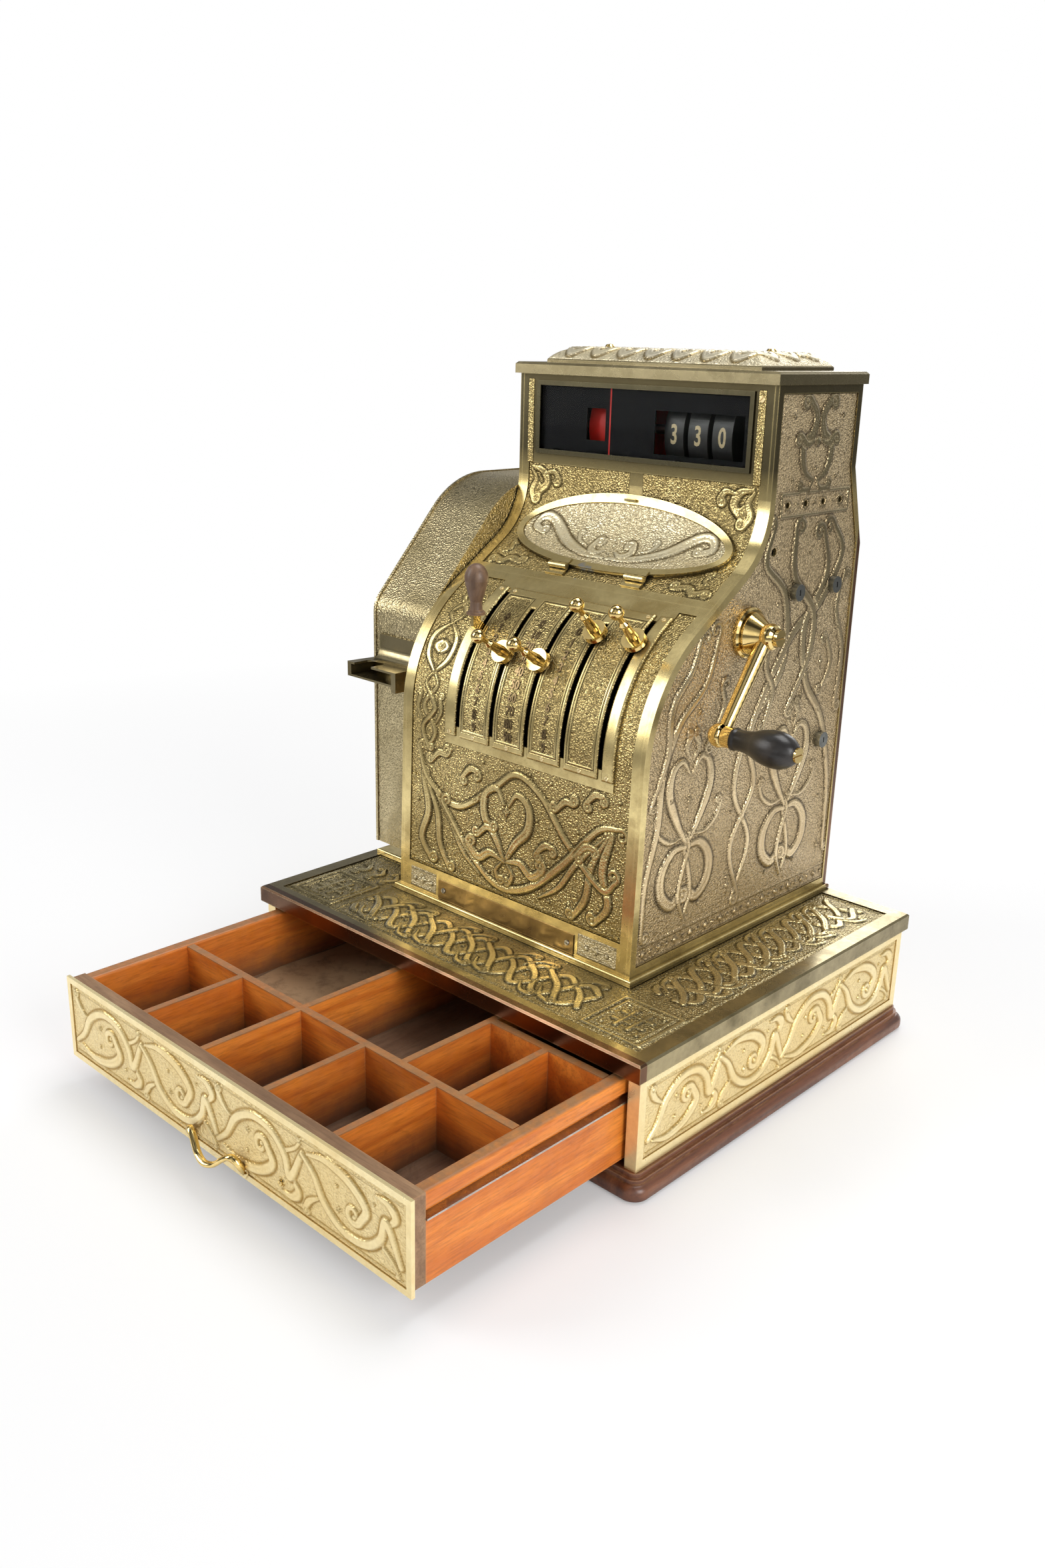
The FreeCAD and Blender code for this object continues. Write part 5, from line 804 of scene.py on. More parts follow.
def plait(relief, start, end, middle, reach, pitch, upright=False):
    """Strands that pass over and under each other, with curls towards both borders."""
    pieces, width, strands = [], 2.3, 3
    for strand in range(strands):
        phase = 2 * math.pi * strand / strands
        along = np.arange(start, end + 0.1, 1.5)
        turn = 2 * math.pi * (along - start) / pitch + phase
        across = middle + reach * (0.62 * np.sin(turn) + 0.16 * np.sin(2 * turn + 0.6))
        line = np.stack([along, across], axis=1)
        length = int(pitch / 1.5 / 2)
        for order, first in enumerate(range(0, len(line) - 2, length)):
            pieces.append(((order + strand) % 2, line[first:first + length + 1]))
    for level in (0, 1):
        for when, line in pieces:
            if when == level and len(line) > 2:
                path = curve(line)
                relief.stroke(path[:, ::-1] if upright else path,
                              (width * relief.bold, width * 1.2 * relief.bold, width * relief.bold),
                              1.0, "leaf")
    for number in range(int((end - start) / pitch * 2)):
        side = 1 if number % 2 else -1
        at = start + (number + 0.5) * pitch / 2
        sprout = [(at - pitch * 0.16, middle + side * reach * 0.3),
                  (at - pitch * 0.04, middle + side * reach * 0.72),
                  (at + pitch * 0.12, middle + side * reach * 0.86)]
        bud = [(at + pitch * 0.1, middle - side * reach * 0.5),
               (at + pitch * 0.22, middle - side * reach * 0.85),
               (at + pitch * 0.34, middle - side * reach * 0.92)]
        turn = -1 if upright else 1
        for points, curl in ((sprout, -3.6 * side * turn), (bud, 3.2 * side * turn)):
            points = [(b, a) for a, b in points] if upright else points
            relief.draw([leaf(points, (0.8, width * 0.9, 1.2), curl)])
        spot = (at + pitch * 0.02, middle - side * reach * 0.12)
        relief.dot(*(spot[::-1] if upright else spot), 1.5)


def corner_tile(relief, u, v, half):
    """A square tile: thin frame, a crossed pair of rounded bars and beads."""
    for size, width in ((half, 2.0), (half - 5.5, 0.9)):
        relief.loop([(u - size, v - size), (u + size, v - size), (u + size, v + size),
                     (u - size, v + size)], width, 0.8)
    reach = half * 0.5
    for across in (True, False):
        for shift in (-0.22 * half, 0.22 * half):
            ends = [(u + du, v + dv) for du, dv in (
                ((-reach, shift), (reach, shift)) if across else ((shift, -reach), (shift, reach)))]
            relief.stroke(curve(ends), (2.4, 1.6, 2.4), 1.0, "leaf")
    for du, dv in ((1, 1), (1, -1), (-1, 1), (-1, -1)):
        relief.dot(u + du * half * 0.62, v + dv * half * 0.62, 1.7)
    for du, dv in ((1, 0), (-1, 0), (0, 1), (0, -1)):
        relief.dot(u + du * half * 0.74, v + dv * half * 0.74, 1.4)


def box_margin(u, v, low, high):
    """Distance inside a box."""
    return np.minimum(np.minimum(u - low[0], high[0] - u), np.minimum(v - low[1], high[1] - v))


def boxes_margin(u, v, parts, gap):
    """Distance inside the nearest of several boxes, each drawn in by a gap."""
    return np.max([box_margin(u, v, np.array(a) + gap, np.array(b) - gap) for a, b in parts],
                  axis=0)


def on_base_top(u, v, h):
    return u + 0 * h, v + 0 * h, SLAB_FIELD + h


def top_margin(u, v):
    parts = (((-215, -182), (215, -106.6)), ((146, -182), (215, 182)),
             ((-215, -182), (-146, -62)), ((-215, 152), (-146, 182)))
    return boxes_margin(u, v, parts, 0.1)


top = Relief((-214.9, -181.9), (215.1, 182.1), 1.0, 1.3)
plait(top, -136, 138, -144.5, 31, 74)
plait(top, -96, 168, 180.5, 29, 70, upright=True)
corner_tile(top, 181, -146, 28)
corner_tile(top, -181, -146, 28)
for low, high in (((-211, -178), (211, -178)), ((211, -178), (211, 178)),
                  ((-211, -178), (-211, -66)), ((-142, -110.5), (142, -110.5)),
                  ((149.5, -108), (149.5, 178)), ((149.5, 178), (211, 178)),
                  ((-142, -178), (-142, -66)), ((-211, -66), (-150, -66)),
                  ((-211, 156), (-150, 156)), ((-211, 178), (-150, 178))):
    top.bar(low, high, 0.6, 0.55)
for x in (-200, -180, -160):
    top.draw([leaf([(x, -106), (x + 7, -96), (x, -86)], (1, 2.4, 1), 3.4, 3.4)])
    top.draw([leaf([(x - 6, 167), (x + 6, 167)], (1, 2.2, 1), 3, -3)])
skin("relief_base_top", "register", top, on_base_top, "olive_relief", 1.5,
     inside=top_margin)


# sides of the cabinet

BACK_LINE = [(UPPER_BACK, CABINET_TOP), (UPPER_BACK, STEP_HIGH), (BACK_Y, STEP_LOW),
             (BACK_Y, FLOOR)]
SIDE_LOOP = np.array(list(map(tuple, FRONT.points[::3])) + [tuple(FRONT.points[-1])] + BACK_LINE)


def loop_margin(u, v, loop, inset):
    """Distance inside a closed loop, less the inset."""
    points = np.stack([u.ravel(), v.ravel()], axis=1)
    least = np.full(len(points), 1e9)
    inside = np.zeros(len(points), bool)
    for a, b in zip(loop, np.roll(loop, -1, axis=0)):
        edge = b - a
        size = max(edge @ edge, 1e-9)
        share = np.clip((points - a) @ edge / size, 0, 1)
        least = np.minimum(least, np.hypot(*(points - a - share[:, None] * edge).T))
        if abs(edge[1]) > 1e-9:
            crosses = (a[1] > points[:, 1]) != (b[1] > points[:, 1])
            at = a[0] + (points[:, 1] - a[1]) * edge[0] / edge[1]
            inside ^= crosses & (points[:, 0] < at)
    return (np.where(inside, least, -least) - inset).reshape(u.shape)


def side_margin(u, v):
    """Inside the side's rim, clear of the crank, three locks, the vent and the band holes."""
    margin = loop_margin(u, v, SIDE_LOOP, 7.1)
    rounds = [(31.9, 386.7, 15.0), (98.0, 412.3, 5.2), (156.5, 413.0, 5.2), (159.0, 271.1, 5.2),
              (61.7, 449.0, 3.7)] + [(y, BAND_HOLE_Z, 2.7) for y in BAND_HOLES]
    for cu, cv, radius in rounds:
        margin = np.minimum(margin, np.hypot(u - cu, v - cv) - radius)
    return margin


BLOOM = [ribbon([(0, 36), (15, 58), (27, 84), (24, 104), (12, 110), (2, 98)],
                (1.6, 2.6, 3.6, 3.4, 2.4, 1.0)),
         leaf([(-3, 34), (18, 34), (32, 18), (31, -2), (17, -14), (5, -6)],
              (1.2, 3.0, 4.0, 3.8, 3.0, 1.6), 5.5),
         leaf([(8, 44), (24, 43), (38, 52), (44, 64)], (0.8, 1.8, 1.6, 1.0), 4.2),
         ribbon([(0, -30), (8, -8), (3, 16), (-3, 34), (4, 48)], (1.2, 2.0, 2.0, 1.6, 0.8)),
         leaf([(4, 112), (8, 122), (3, 130)], (1.0, 2.6, 0.8), -3.0)]
CREST = [leaf([(3, 2), (16, 10), (20, 28), (8, 38), (5, 52), (16, 64)],
              (1.2, 2.6, 3.4, 2.8, 2.4, 1.4), -5.0),
         leaf([(2, 34), (14, 30), (24, 36)], (1.0, 2.4, 1.2), -4.0),
         leaf([(3, 4), (8, -4), (20, -4)], (0.8, 1.8, 1.0), 3.2)]


def both_ways(relief, strokes, shift, size=1.0):
    """Draws strokes and their mirror image."""
    for flip in (False, True):
        relief.draw(strokes, shift, flip_u=flip, size=size)


def cabinet_side(relief):
    for z in (127.8, 142.0):
        relief.bar((-90, z), (190, z), 0.7, 0.7)
    for number in range(13):
        y = -84 + 21.5 * number
        relief.diamond(y, 134.9, 6.5, 6.2, 0.9, hollow=False)
        relief.dot(y + 10.7, 134.9, 1.5)
    for y in (-33, 112):
        both_ways(relief, BLOOM, (y, 182))
        relief.diamond(y, 182 + 74, 5.5, 11)
        relief.diamond(y + 62, 164, 4.5, 9, hollow=False)
    long_lines = [
        ([(-88, 150), (-86, 196), (-74, 240), (-70, 285), (-52, 324), (-20, 352), (-6, 392)],
         (1.2, 2.2, 2.6, 3.0, 2.6, 2.2, 1.0), 7.0, 5.0),
        ([(-84, 262), (-66, 300), (-62, 340), (-40, 366), (-30, 392)], (0.8, 2.0, 2.8, 2.4, 1.0),
         -6.0, 4.0),
        ([(38, 150), (56, 200), (30, 250), (44, 300), (88, 350), (84, 410), (52, 440), (60, 470)],
         (1.2, 2.0, 2.2, 2.6, 3.0, 3.2, 2.6, 1.4), 6.5, 6.0),
        ([(46, 150), (30, 200), (58, 250), (48, 300), (96, 372), (140, 400), (168, 440),
          (150, 468)], (1.2, 2.0, 2.2, 2.6, 3.0, 3.2, 2.6, 1.4), 8.0, -6.0),
        ([(184, 160), (180, 230), (160, 290), (128, 330), (118, 380), (146, 424), (136, 462)],
         (1.2, 2.0, 2.6, 3.0, 3.2, 2.8, 1.4), 7.5, 5.0),
        ([(100, 310), (128, 352), (130, 392), (96, 426), (92, 466)], (1.0, 2.6, 3.2, 3.0, 1.4),
         -7.0, 5.0),
        ([(180, 300), (184, 350), (168, 390), (176, 420)], (1.0, 2.4, 2.2, 1.0), -5.0, 5.0),
        ([(-14, 300), (6, 326), (2, 346)], (1.0, 2.6, 1.0), -5.5, 4.5),
        ([(66, 300), (76, 330), (64, 352), (66, 380)], (1.0, 2.4, 2.4, 1.0), 5.0, -4.0),
        ([(154, 318), (166, 342), (156, 366)], (1.0, 2.4, 1.0), 4.6, -4.6),
    ]
    for line in long_lines:
        relief.draw([ribbon(*line)])
    relief.dots(((8, 300), (78, 292), (28, 232), (150, 300), (168, 214), (-58, 262), (172, 372),
                 (110, 352), (52, 352), (118, 444), (74, 404), (-46, 180), (-12, 160), (88, 160),
                 (134, 160), (28, 172), (178, 180)), 1.6)
    for u, v in ((48, 224), (40, 172), (70, 372), (122, 318), (150, 344), (-26, 330), (172, 250)):
        relief.diamond(u, v, 4.4, 8.5)
    relief.loop([(66, 476.5), (169, 476.5), (169, 495), (66, 495)], 1.3, 0.9, "ribbon")
    for y in BAND_HOLES:
        relief.stroke(curve([(y + 4.2 * math.cos(t), BAND_HOLE_Z + 4.2 * math.sin(t))
                             for t in np.linspace(0, 2 * math.pi, 12)]),
                      (0.8, 0.8), 0.7, "bead", over=False)
        if y < BAND_HOLES[-1]:
            relief.dot(y + 13.5, BAND_HOLE_Z, 1.2)
    both_ways(relief, CREST, (113, 502), 1.06)
    relief.dot(113, 536, 4.0)
    relief.dots(((113, 556), (113, 514), (76, 556), (150, 556), (80, 506), (146, 506)), 1.5)


side = Relief((-94.0, 125.0), (191.0, 575.0), 1.15, 1.4)
cabinet_side(side)
skin("relief_side_right", "register", side, on_side(CABINET_FACE, 1),
     "side_relief", 1.5, inside=side_margin)


def left_margin(u, v):
    """The left side without what lies under the printer cover."""
    covered = box_margin(u, v, (-72.0, 100.0), (156.0, 490.5))
    return np.minimum(loop_margin(u, v, SIDE_LOOP, 7.1), -covered)


skin("relief_side_left", "register", side, on_side(CABINET_FACE, -1),
     "side_relief", 1.5, inside=left_margin, double=True)


# lower front

LOW_S, HIGH_S = FRONT.s_of(145.5), FRONT.s_of(269.5)


def in_front(depth):
    """Onto the cabinet's front, in a field sunk by a depth."""
    return lambda u, s, h: FRONT.place(u, s, h - depth)


def lower_margin(u, v):
    parts = (((-128, LOW_S), (128, HIGH_S)), ((-128, LOW_S), (-83.5, RAMP_S + 20)),
             ((110.5, LOW_S), (128, RAMP_S + 20)))
    return boxes_margin(u, v, parts, 0.1)


lower = Relief((-127.9, LOW_S + 0.1), (128.0, RAMP_S + 20), 0.9, 1.35)
MID = (LOW_S + HIGH_S) / 2
SWEEP = [ribbon([(-118, 50), (-104, 22), (-66, 6), (-22, 34), (4, 52), (34, 40), (64, 8),
                 (104, -22), (119, -12)], (1.0, 2.2, 2.6, 2.6, 2.4, 2.6, 2.6, 2.4, 1.2), 6.0, -5.0),
         ribbon([(120, 34), (96, 26), (60, -14), (22, -46), (-14, -54), (-48, -34), (-84, 4)],
                (1.0, 2.4, 3.0, 3.0, 2.6, 2.4, 1.2), -6.0, -6.0)]
FAN = [leaf([(-112, 26), (-104, -6), (-112, -34), (-100, -52)], (1.0, 3.2, 3.0, 1.4), 5.0, -4.5),
       leaf([(-108, 24), (-92, -6), (-88, -34), (-76, -54)], (1.0, 2.8, 2.8, 1.2), 4.5),
       leaf([(-104, 22), (-76, -8), (-58, -34), (-36, -50)], (0.8, 2.2, 2.2, 1.0))]
HEART = [leaf([(0, -34), (12, -14), (26, 2), (26, 22), (12, 30), (3, 18)],
              (1.4, 3.0, 3.6, 3.2, 2.4, 1.0)),
         leaf([(0, -34), (18, -30), (32, -38), (44, -30)], (1.0, 3.2, 3.0, 1.2), 5.5),
         leaf([(4, -36), (10, -44), (6, -52)], (1.0, 2.4, 1.0), -3.4)]
both_ways(lower, FAN, (0, MID))
lower.draw(SWEEP, (0, MID))
both_ways(lower, HEART, (-6, MID + 4))
lower.diamond(-6, MID + 16, 6.5, 11)
for u, v, a, b in ((-92, 46, 5, -4), (-52, 40, -4.5, 4), (60, 38, 4.5, -4), (92, 52, -4, 4),
                   (86, 6, -4, 4), (-30, -8, 4, -4), (40, -6, -4, 4)):
    lower.draw([leaf([(u - 9, v + MID - 5), (u, v + MID + 4), (u + 9, v + MID + 4)],
                     (1.0, 2.6, 1.0), a, b)])
lower.dots(((-76, 56), (-36, 54), (20, 56), (44, 54), (76, 20), (108, 8), (-60, -18), (-24, -44),
            (0, -22), (48, -50), (70, -46), (92, -4), (-118, 0), (118, 56), (-44, 18), (30, 18)),
           1.6, MID)
lower.bar((-125, HIGH_S - 121), (125, HIGH_S - 121), 0.7, 0.5)
KNOT_U = -105.5
CHEEK = [ribbon([(0, -4), (8, 14), (-7, 34), (7, 54), (0, 66)], (1.0, 1.9, 1.9, 1.9, 1.0), 0, -3.4),
         ribbon([(1, 66), (13, 80), (14, 98), (1, 112)], (1.4, 2.6, 2.6, 1.2)),
         ribbon([(0, 112), (8, 124), (-6, 142), (6, 152)], (1.0, 1.9, 1.9, 1.0), 4.0),
         leaf([(9, 20), (15, 32), (12, 44)], (0.8, 2.0, 0.8), -3.0),
         bead([(2, 84), (7, 89), (2, 94)], (1.6, 2.6, 1.6))]
both_ways(lower, CHEEK, (KNOT_U, HIGH_S - 6))
lower.diamond(KNOT_U, HIGH_S + 83, 8, 14)
skin("relief_lower_front", "register", lower, in_front(1.2), "cast_relief", 1.5,
     inside=lower_margin, double=True)


# upper front round the door, and the door

DOOR_LOW, DOOR_HIGH, DOOR_DEPTH = TOP + 306.7, 481.0, 49.5  # ends of the door's chord
CHORD = math.atan2(DOOR_HIGH - DOOR_LOW, DOOR_DEPTH)
DOOR_MID = (DOOR_DEPTH / 2, (DOOR_HIGH + DOOR_LOW) / 2)
DOOR_A, DOOR_B = 119.0, math.hypot(DOOR_DEPTH, DOOR_HIGH - DOOR_LOW) / 2


def oval_share(u, s, grow, tall):
    """Distance outside an oval that is drawn square to the door's chord."""
    _, y, z = FRONT.place(u, s, np.zeros_like(s) + tall)
    t = (y - DOOR_MID[0]) * math.cos(CHORD) + (z - DOOR_MID[1]) * math.sin(CHORD)
    a, b = DOOR_A + grow, DOOR_B + grow
    q = np.sqrt((u / a) ** 2 + (t / b) ** 2)
    slope = np.hypot(u / a ** 2, t / b ** 2) / np.maximum(q, 1e-6)
    return (q - 1) / np.maximum(slope, 1e-6)


UP_LOW, UP_HIGH = SEAM_S + 8, FRONT.s_of(WINDOW_FOOT)


def upper_margin(u, v):
    frame_part = box_margin(u, v, (-127.9, UP_LOW + 0.1), (127.9, UP_HIGH - 0.1))
    hinge_left = box_margin(u, v, (-50.0, 0.0), (-28.0, RAMP_S + 49))
    hinge_right = box_margin(u, v, (36.0, 0.0), (58.0, RAMP_S + 49))
    tab = box_margin(u, v, (-7.5, RAMP_S + 90), (7.5, UP_HIGH + 5))
    margin = np.minimum(frame_part, oval_share(u, v, 1.0, 0.0))
    for cutout in (hinge_left, hinge_right, tab):
        margin = np.minimum(margin, -cutout)
    return margin


upper = Relief((-127.9, UP_LOW), (128.0, UP_HIGH), 0.9, 1.3)
SCROLL = [leaf([(3, -3), (16, -6), (22, -16), (14, -24)], (1.2, 3.4, 3.2, 1.6), -4.5),
          leaf([(2, -5), (8, -14), (4, -24), (8, -32)], (1.0, 2.8, 2.6, 1.2), 4.0),
          leaf([(18, -8), (30, -6), (36, -12)], (1.0, 2.6, 1.2), -3.6)]
for u, flip_u in ((-126, False), (126, True)):
    upper.draw(SCROLL, (u, UP_HIGH - 1), flip_u=flip_u)
for u, flip_u in ((-118, False), (118, True)):
    upper.draw([leaf([(0, 4), (10, 0), (18, 6), (30, 3)], (1.2, 3.0, 3.0, 1.2), 4.0, 4.0),
                leaf([(2, 12), (8, 16), (6, 24)], (1.0, 2.4, 1.0), -3.4)], (u, UP_LOW + 6),
                flip_u=flip_u)
skin("relief_upper_front", "register", upper, in_front(1.2), "cast_relief", 1.5,
     inside=upper_margin, double=True)


def door_margin(u, v):
    return -oval_share(u, v, -7.1, 1.8)


door = Relief((-112.0, RAMP_S + 50), (112.5, RAMP_S + 140), 0.8, 1.3)
mid_s = RAMP_S + 91
LEAF_DOOR = [leaf([(2, -27), (26, -24), (54, -12), (80, 8), (94, 10), (99, 0), (88, -6)],
                  (1.2, 3.0, 4.0, 4.4, 3.6, 3.0, 1.6), -3.4),
             leaf([(6, -18), (14, -22), (22, -17), (20, -8)], (1.2, 3.0, 2.8, 1.4), 4.0),
             leaf([(30, -14), (40, -10), (44, -3)], (0.8, 1.8, 0.8), 3.0)]
both_ways(door, LEAF_DOOR, (0, mid_s))
door.dots(((0, -10), (12, -5), (-12, -5), (0, -20)), 1.8, mid_s)
skin("relief_door", "door", door, lambda u, s, h: FRONT.place(u, s, h + 1.8), "door_relief",
     1.1, ground=0.06, depth=-0.2, inside=door_margin, double=True)


# dome

DOME_Y, DOME_Z = 111.9, CABINET_TOP + 10.0
DOME_HALF = (116.0, 53.9)
DOME_RUN, DOME_RISE, DOME_CROWN = 20.0, 10.0, 12.5  # its rounded edge, and its flat top
DOME_ARC_R = (DOME_RUN ** 2 + DOME_RISE ** 2) / (2 * DOME_RISE)


def dome_height(distance):
    """Height of the dome at a distance in from its edge."""
    run = np.clip(DOME_RUN - distance, 0, DOME_RUN)
    return DOME_CROWN - (DOME_ARC_R - np.sqrt(DOME_ARC_R ** 2 - run ** 2))


def on_dome(u, v, h):
    low = np.minimum(dome_height(DOME_HALF[0] - np.abs(u)), dome_height(DOME_HALF[1] - np.abs(v)))
    return u + 0 * h, v + DOME_Y + 0 * h, DOME_Z + low + h


dome = Relief((-115.2, -53.2), (115.3, 53.3), 0.85)
for side_v in (-1, 1):
    for number in range(7):
        u = -90 + 30 * number
        dome.draw([leaf([(-12, 34), (-4, 47), (6, 44), (12, 32), (20, 30)],
                        (1.4, 3.4, 3.8, 3.4, 1.6), 0, 3.2),
                   leaf([(-4, 26), (4, 20), (12, 22)], (1.2, 3.0, 1.4), -3.2, 3.0)],
                  (u, 0), flip_v=side_v < 0)
for side_u in (-1, 1):
    for v in (-30, 0, 30):
        dome.draw([leaf([(84, -10), (100, -6), (108, 4), (98, 12)], (1.4, 3.6, 3.6, 1.6), 3.4),
                   leaf([(78, 2), (86, 8), (88, 14)], (1.2, 2.6, 1.2), -3.0)], (0, v),
                   flip_u=side_u < 0)
both_ways(dome, [leaf([(0, 0), (18, 10), (40, 2), (60, -8), (74, 0)], (2.0, 3.4, 3.4, 3.0, 1.6),
                      5.0),
                 leaf([(0, -4), (14, -14), (34, -12), (52, 6)], (1.6, 3.0, 3.0, 1.4), 5.0)], (0, 0))
skin("relief_top_dome", "register", dome, on_dome, "dome_relief", 2.1, ground=0.1,
     depth=-0.3, double=True)


# ------------------------------------------------------------------ quadrant with its numbers

PLATE_LOW, PLATE_HIGH = FRONT.s_of(TOP + 162.5), RAMP_S + 11.9
SLOT_TOP = s_at_angle(37.5)
COLUMNS = [(-83.5, -70.5), (-65.5, -29.5), (-24.5, 11.5), (16.5, 52.5), (57.5, 93.5), (98.5, 110.5)]


def quadrant_margin(u, v):
    spans = ((-83.5, -70.5), (-65.5, 11.5), (16.5, 93.5), (98.5, 110.5))
    margin = boxes_margin(u, v, [((a, PLATE_LOW), (b, PLATE_HIGH)) for a, b in spans], 0.0)
    for slot in CUT_SLOTS:
        margin = np.minimum(margin, -box_margin(u, v, (slot - 2.5, 0.0), (slot + 2.5, SLOT_TOP)))
    return margin


plates = Relief((-84.4, PLATE_LOW - 0.9), (111.4, PLATE_HIGH + 0.9), 0.55)
grid_u, grid_v = np.meshgrid(plates.u, plates.v)
ground = np.ones_like(grid_u)
for left, right in COLUMNS[1:5]:
    sunk = box_margin(grid_u, grid_v, (left + 5.0, PLATE_LOW + 8.0),
                      (right - 5.0, PLATE_HIGH - 11.0))
    ground = np.minimum(ground, 1 - smooth(0.0, 0.9, sunk))
    groove = np.abs(box_margin(grid_u, grid_v, (left + 3.2, PLATE_LOW + 6.2),
                               (right - 3.2, PLATE_HIGH - 9.2)))
    ground = np.minimum(ground, 1 - 0.45 * np.exp(-(groove / 0.45) ** 2))
plates.h = ground
# dirt and painted shade along the edges of the sunk columns and their grooves
plates.near = np.where(ground < 0.97, 1.1 + np.abs(0.5 - ground) * 0.8, UNTOUCHED)
skin("scale_plate_faces", "register", plates, FRONT.place, "cast_relief", 0.9,
     ground=1.05, depth=0.15, inside=quadrant_margin, double=True, replaced=["scale_plates"])


def letters(text, height, thick, squeeze):
    """Plain figures as a raised mesh, in mm, centred on the origin."""
    data = bpy.data.curves.new("figure", "FONT")
    data.body, data.size, data.align_x, data.align_y = text, 1.0, "CENTER", "CENTER"
    data.resolution_u = 3
    data.offset = 0.02
    data.extrude = 0.5
    holder = bpy.data.objects.new("figure", data)
    bpy.context.scene.collection.objects.link(holder)
    mesh = bpy.data.meshes.new_from_object(holder)
    bpy.data.objects.remove(holder)
    bm = bmesh.new()
    bm.from_mesh(mesh)
    bpy.data.meshes.remove(mesh)
    bmesh.ops.remove_doubles(bm, verts=bm.verts, dist=1e-5)
    co = np.array([v.co for v in bm.verts])
    scale = height / (co[:, 1].max() - co[:, 1].min())
    middle = (co[:, 1].max() + co[:, 1].min()) / 2
    for v in bm.verts:
        v.co = Vector((v.co.x * scale * squeeze, (v.co.y - middle) * scale,
                       0.0 if v.co.z < 0 else thick))
    for level in np.arange(-height / 2 + 1.5, height / 2, 1.5):
        bmesh.ops.bisect_plane(bm, geom=list(bm.verts) + list(bm.edges) + list(bm.faces),
                               plane_co=(0, level, 0), plane_no=(0, 1, 0))
    return bm


def wrapped(name, body, figures, look):
    """Figures laid on a surface: each entry is a bmesh and the way from flat to the surface."""
    whole = bmesh.new()
    for bm, place in figures:
        co = np.array([v.co for v in bm.verts])
        moved = np.stack(place(co[:, 0], co[:, 1], co[:, 2]), axis=1) * MM
        for v, spot in zip(bm.verts, moved):
            v.co = Vector(spot)
        part = bpy.data.meshes.new("part")
        bm.to_mesh(part)
        bm.free()
        whole.from_mesh(part)
        bpy.data.meshes.remove(part)
    bmesh.ops.recalc_face_normals(whole, faces=whole.faces)
    mesh = bpy.data.meshes.new(name)
    whole.to_mesh(mesh)
    whole.free()
    placed(name, body, mesh, look)


DIGIT_STEP = 5.142857  # degrees of a lever for each figure
WHEEL_STEP = 36.0  # degrees of a wheel for each figure
FIRST_ANGLE = 58.93 - 3 * DIGIT_STEP  # of the figure 0, on the two scales set at 3
figures = []
for column, first in ((1, FIRST_ANGLE), (2, FIRST_ANGLE), (3, 43.5)):
    left, right = COLUMNS[column]
    for digit in range(10):
        s = s_at_angle(first + digit * DIGIT_STEP)
        text = f"{digit}0" if column == 2 and digit else str(digit)
        figures.append((letters(text, 8.2, 0.55, 0.85), lambda x, y, z, s=s, u=(left + right) / 2:
                        FRONT.place(x + u, y + s, z + 1.05)))
wrapped("quadrant_figures", "register", figures, "figure")


def on_wheel(x_mid, angle):
    """Onto an indicator wheel, at an angle below its front."""
    def place(x, y, z):
        a = y / WHEEL_R - angle
        return x + x_mid, WHEEL_Y - (WHEEL_R + z) * np.cos(a), WHEEL_Z + (WHEEL_R + z) * np.sin(a)
    return place


for wheel, x_mid, shown in (("hundreds", 29.5, 3), ("tens", 54.5, 3), ("units", 79.5, 0)):
    figures = [(letters(str(digit), 17.0, 0.2, 0.7),
                on_wheel(x_mid, math.radians(WHEEL_STEP * (digit - shown)))) for digit in range(10)]
    wrapped(f"{wheel}_wheel_figures", f"{wheel}_wheel", figures, "ivory")


# ------------------------------------------------------------------ small parts

def piece_of(name, body, verts, faces, look, smooth_all=False, replaced=None):
    """A mesh from points in mm, riding on a body."""
    mesh = bpy.data.meshes.new(name)
    mesh.from_pydata((np.array(verts) * MM).tolist(), [], faces)
    bm = bmesh.new()
    bm.from_mesh(mesh)
    bmesh.ops.recalc_face_normals(bm, faces=bm.faces)
    bm.to_mesh(mesh)
    bm.free()
    if smooth_all:
        mesh.shade_smooth()
    placed(name, body, mesh, look, replaced)


def extruded(verts, faces, polygon, frame, low, high, shrink=1.0):
    """Adds a prism to a list: a flat polygon carried along the frame's third axis."""
    origin, across, upward, outward = (np.array(v, float) for v in frame)
    middle = np.mean(polygon, axis=0)
    start, count = len(verts), len(polygon)
    for level, size in ((low, 1.0), (high, shrink)):
        for a, b in (np.array(polygon) - middle) * size + middle:
            verts.append(origin + a * across + b * upward + level * outward)
    faces.append(list(range(start, start + count))[::-1])
    faces.append(list(range(start + count, start + 2 * count)))
    for k in range(count):
        m = (k + 1) % count
        faces.append([start + k, start + m, start + count + m, start + count + k])


def front_frame(x, s, h):
    """A point on the cabinet's front with its across, upward and outward directions."""
    point = np.array([float(np.ravel(c)[0]) for c in FRONT.place(x, np.array([s]), h)])
    out_point = np.array([float(np.ravel(c)[0]) for c in FRONT.place(x, np.array([s]), h + 1)])
    outward = out_point - point
    return point, (1, 0, 0), np.cross(outward, (1, 0, 0)), outward


def screws(name, body, spots, look):
    """Round slotted heads; each spot is a frame, a radius and the slot's angle."""
    verts, faces = [], []
    for frame_here, radius, turn in spots:
        whole = [(radius * math.cos(t), radius * math.sin(t))
                 for t in np.linspace(0, 2 * math.pi, 20)[:-1]]
        extruded(verts, faces, whole, frame_here, -0.5, 0.25)
        gap = 0.16
        for half in (0, math.pi):
            arc_points = [(radius * math.cos(t + half + turn), radius * math.sin(t + half + turn))
                          for t in np.linspace(gap, math.pi - gap, 10)]
            extruded(verts, faces, arc_points, frame_here, 0.25, 0.25 + radius * 0.24, 0.84)
    piece_of(name, body, verts, faces, look)


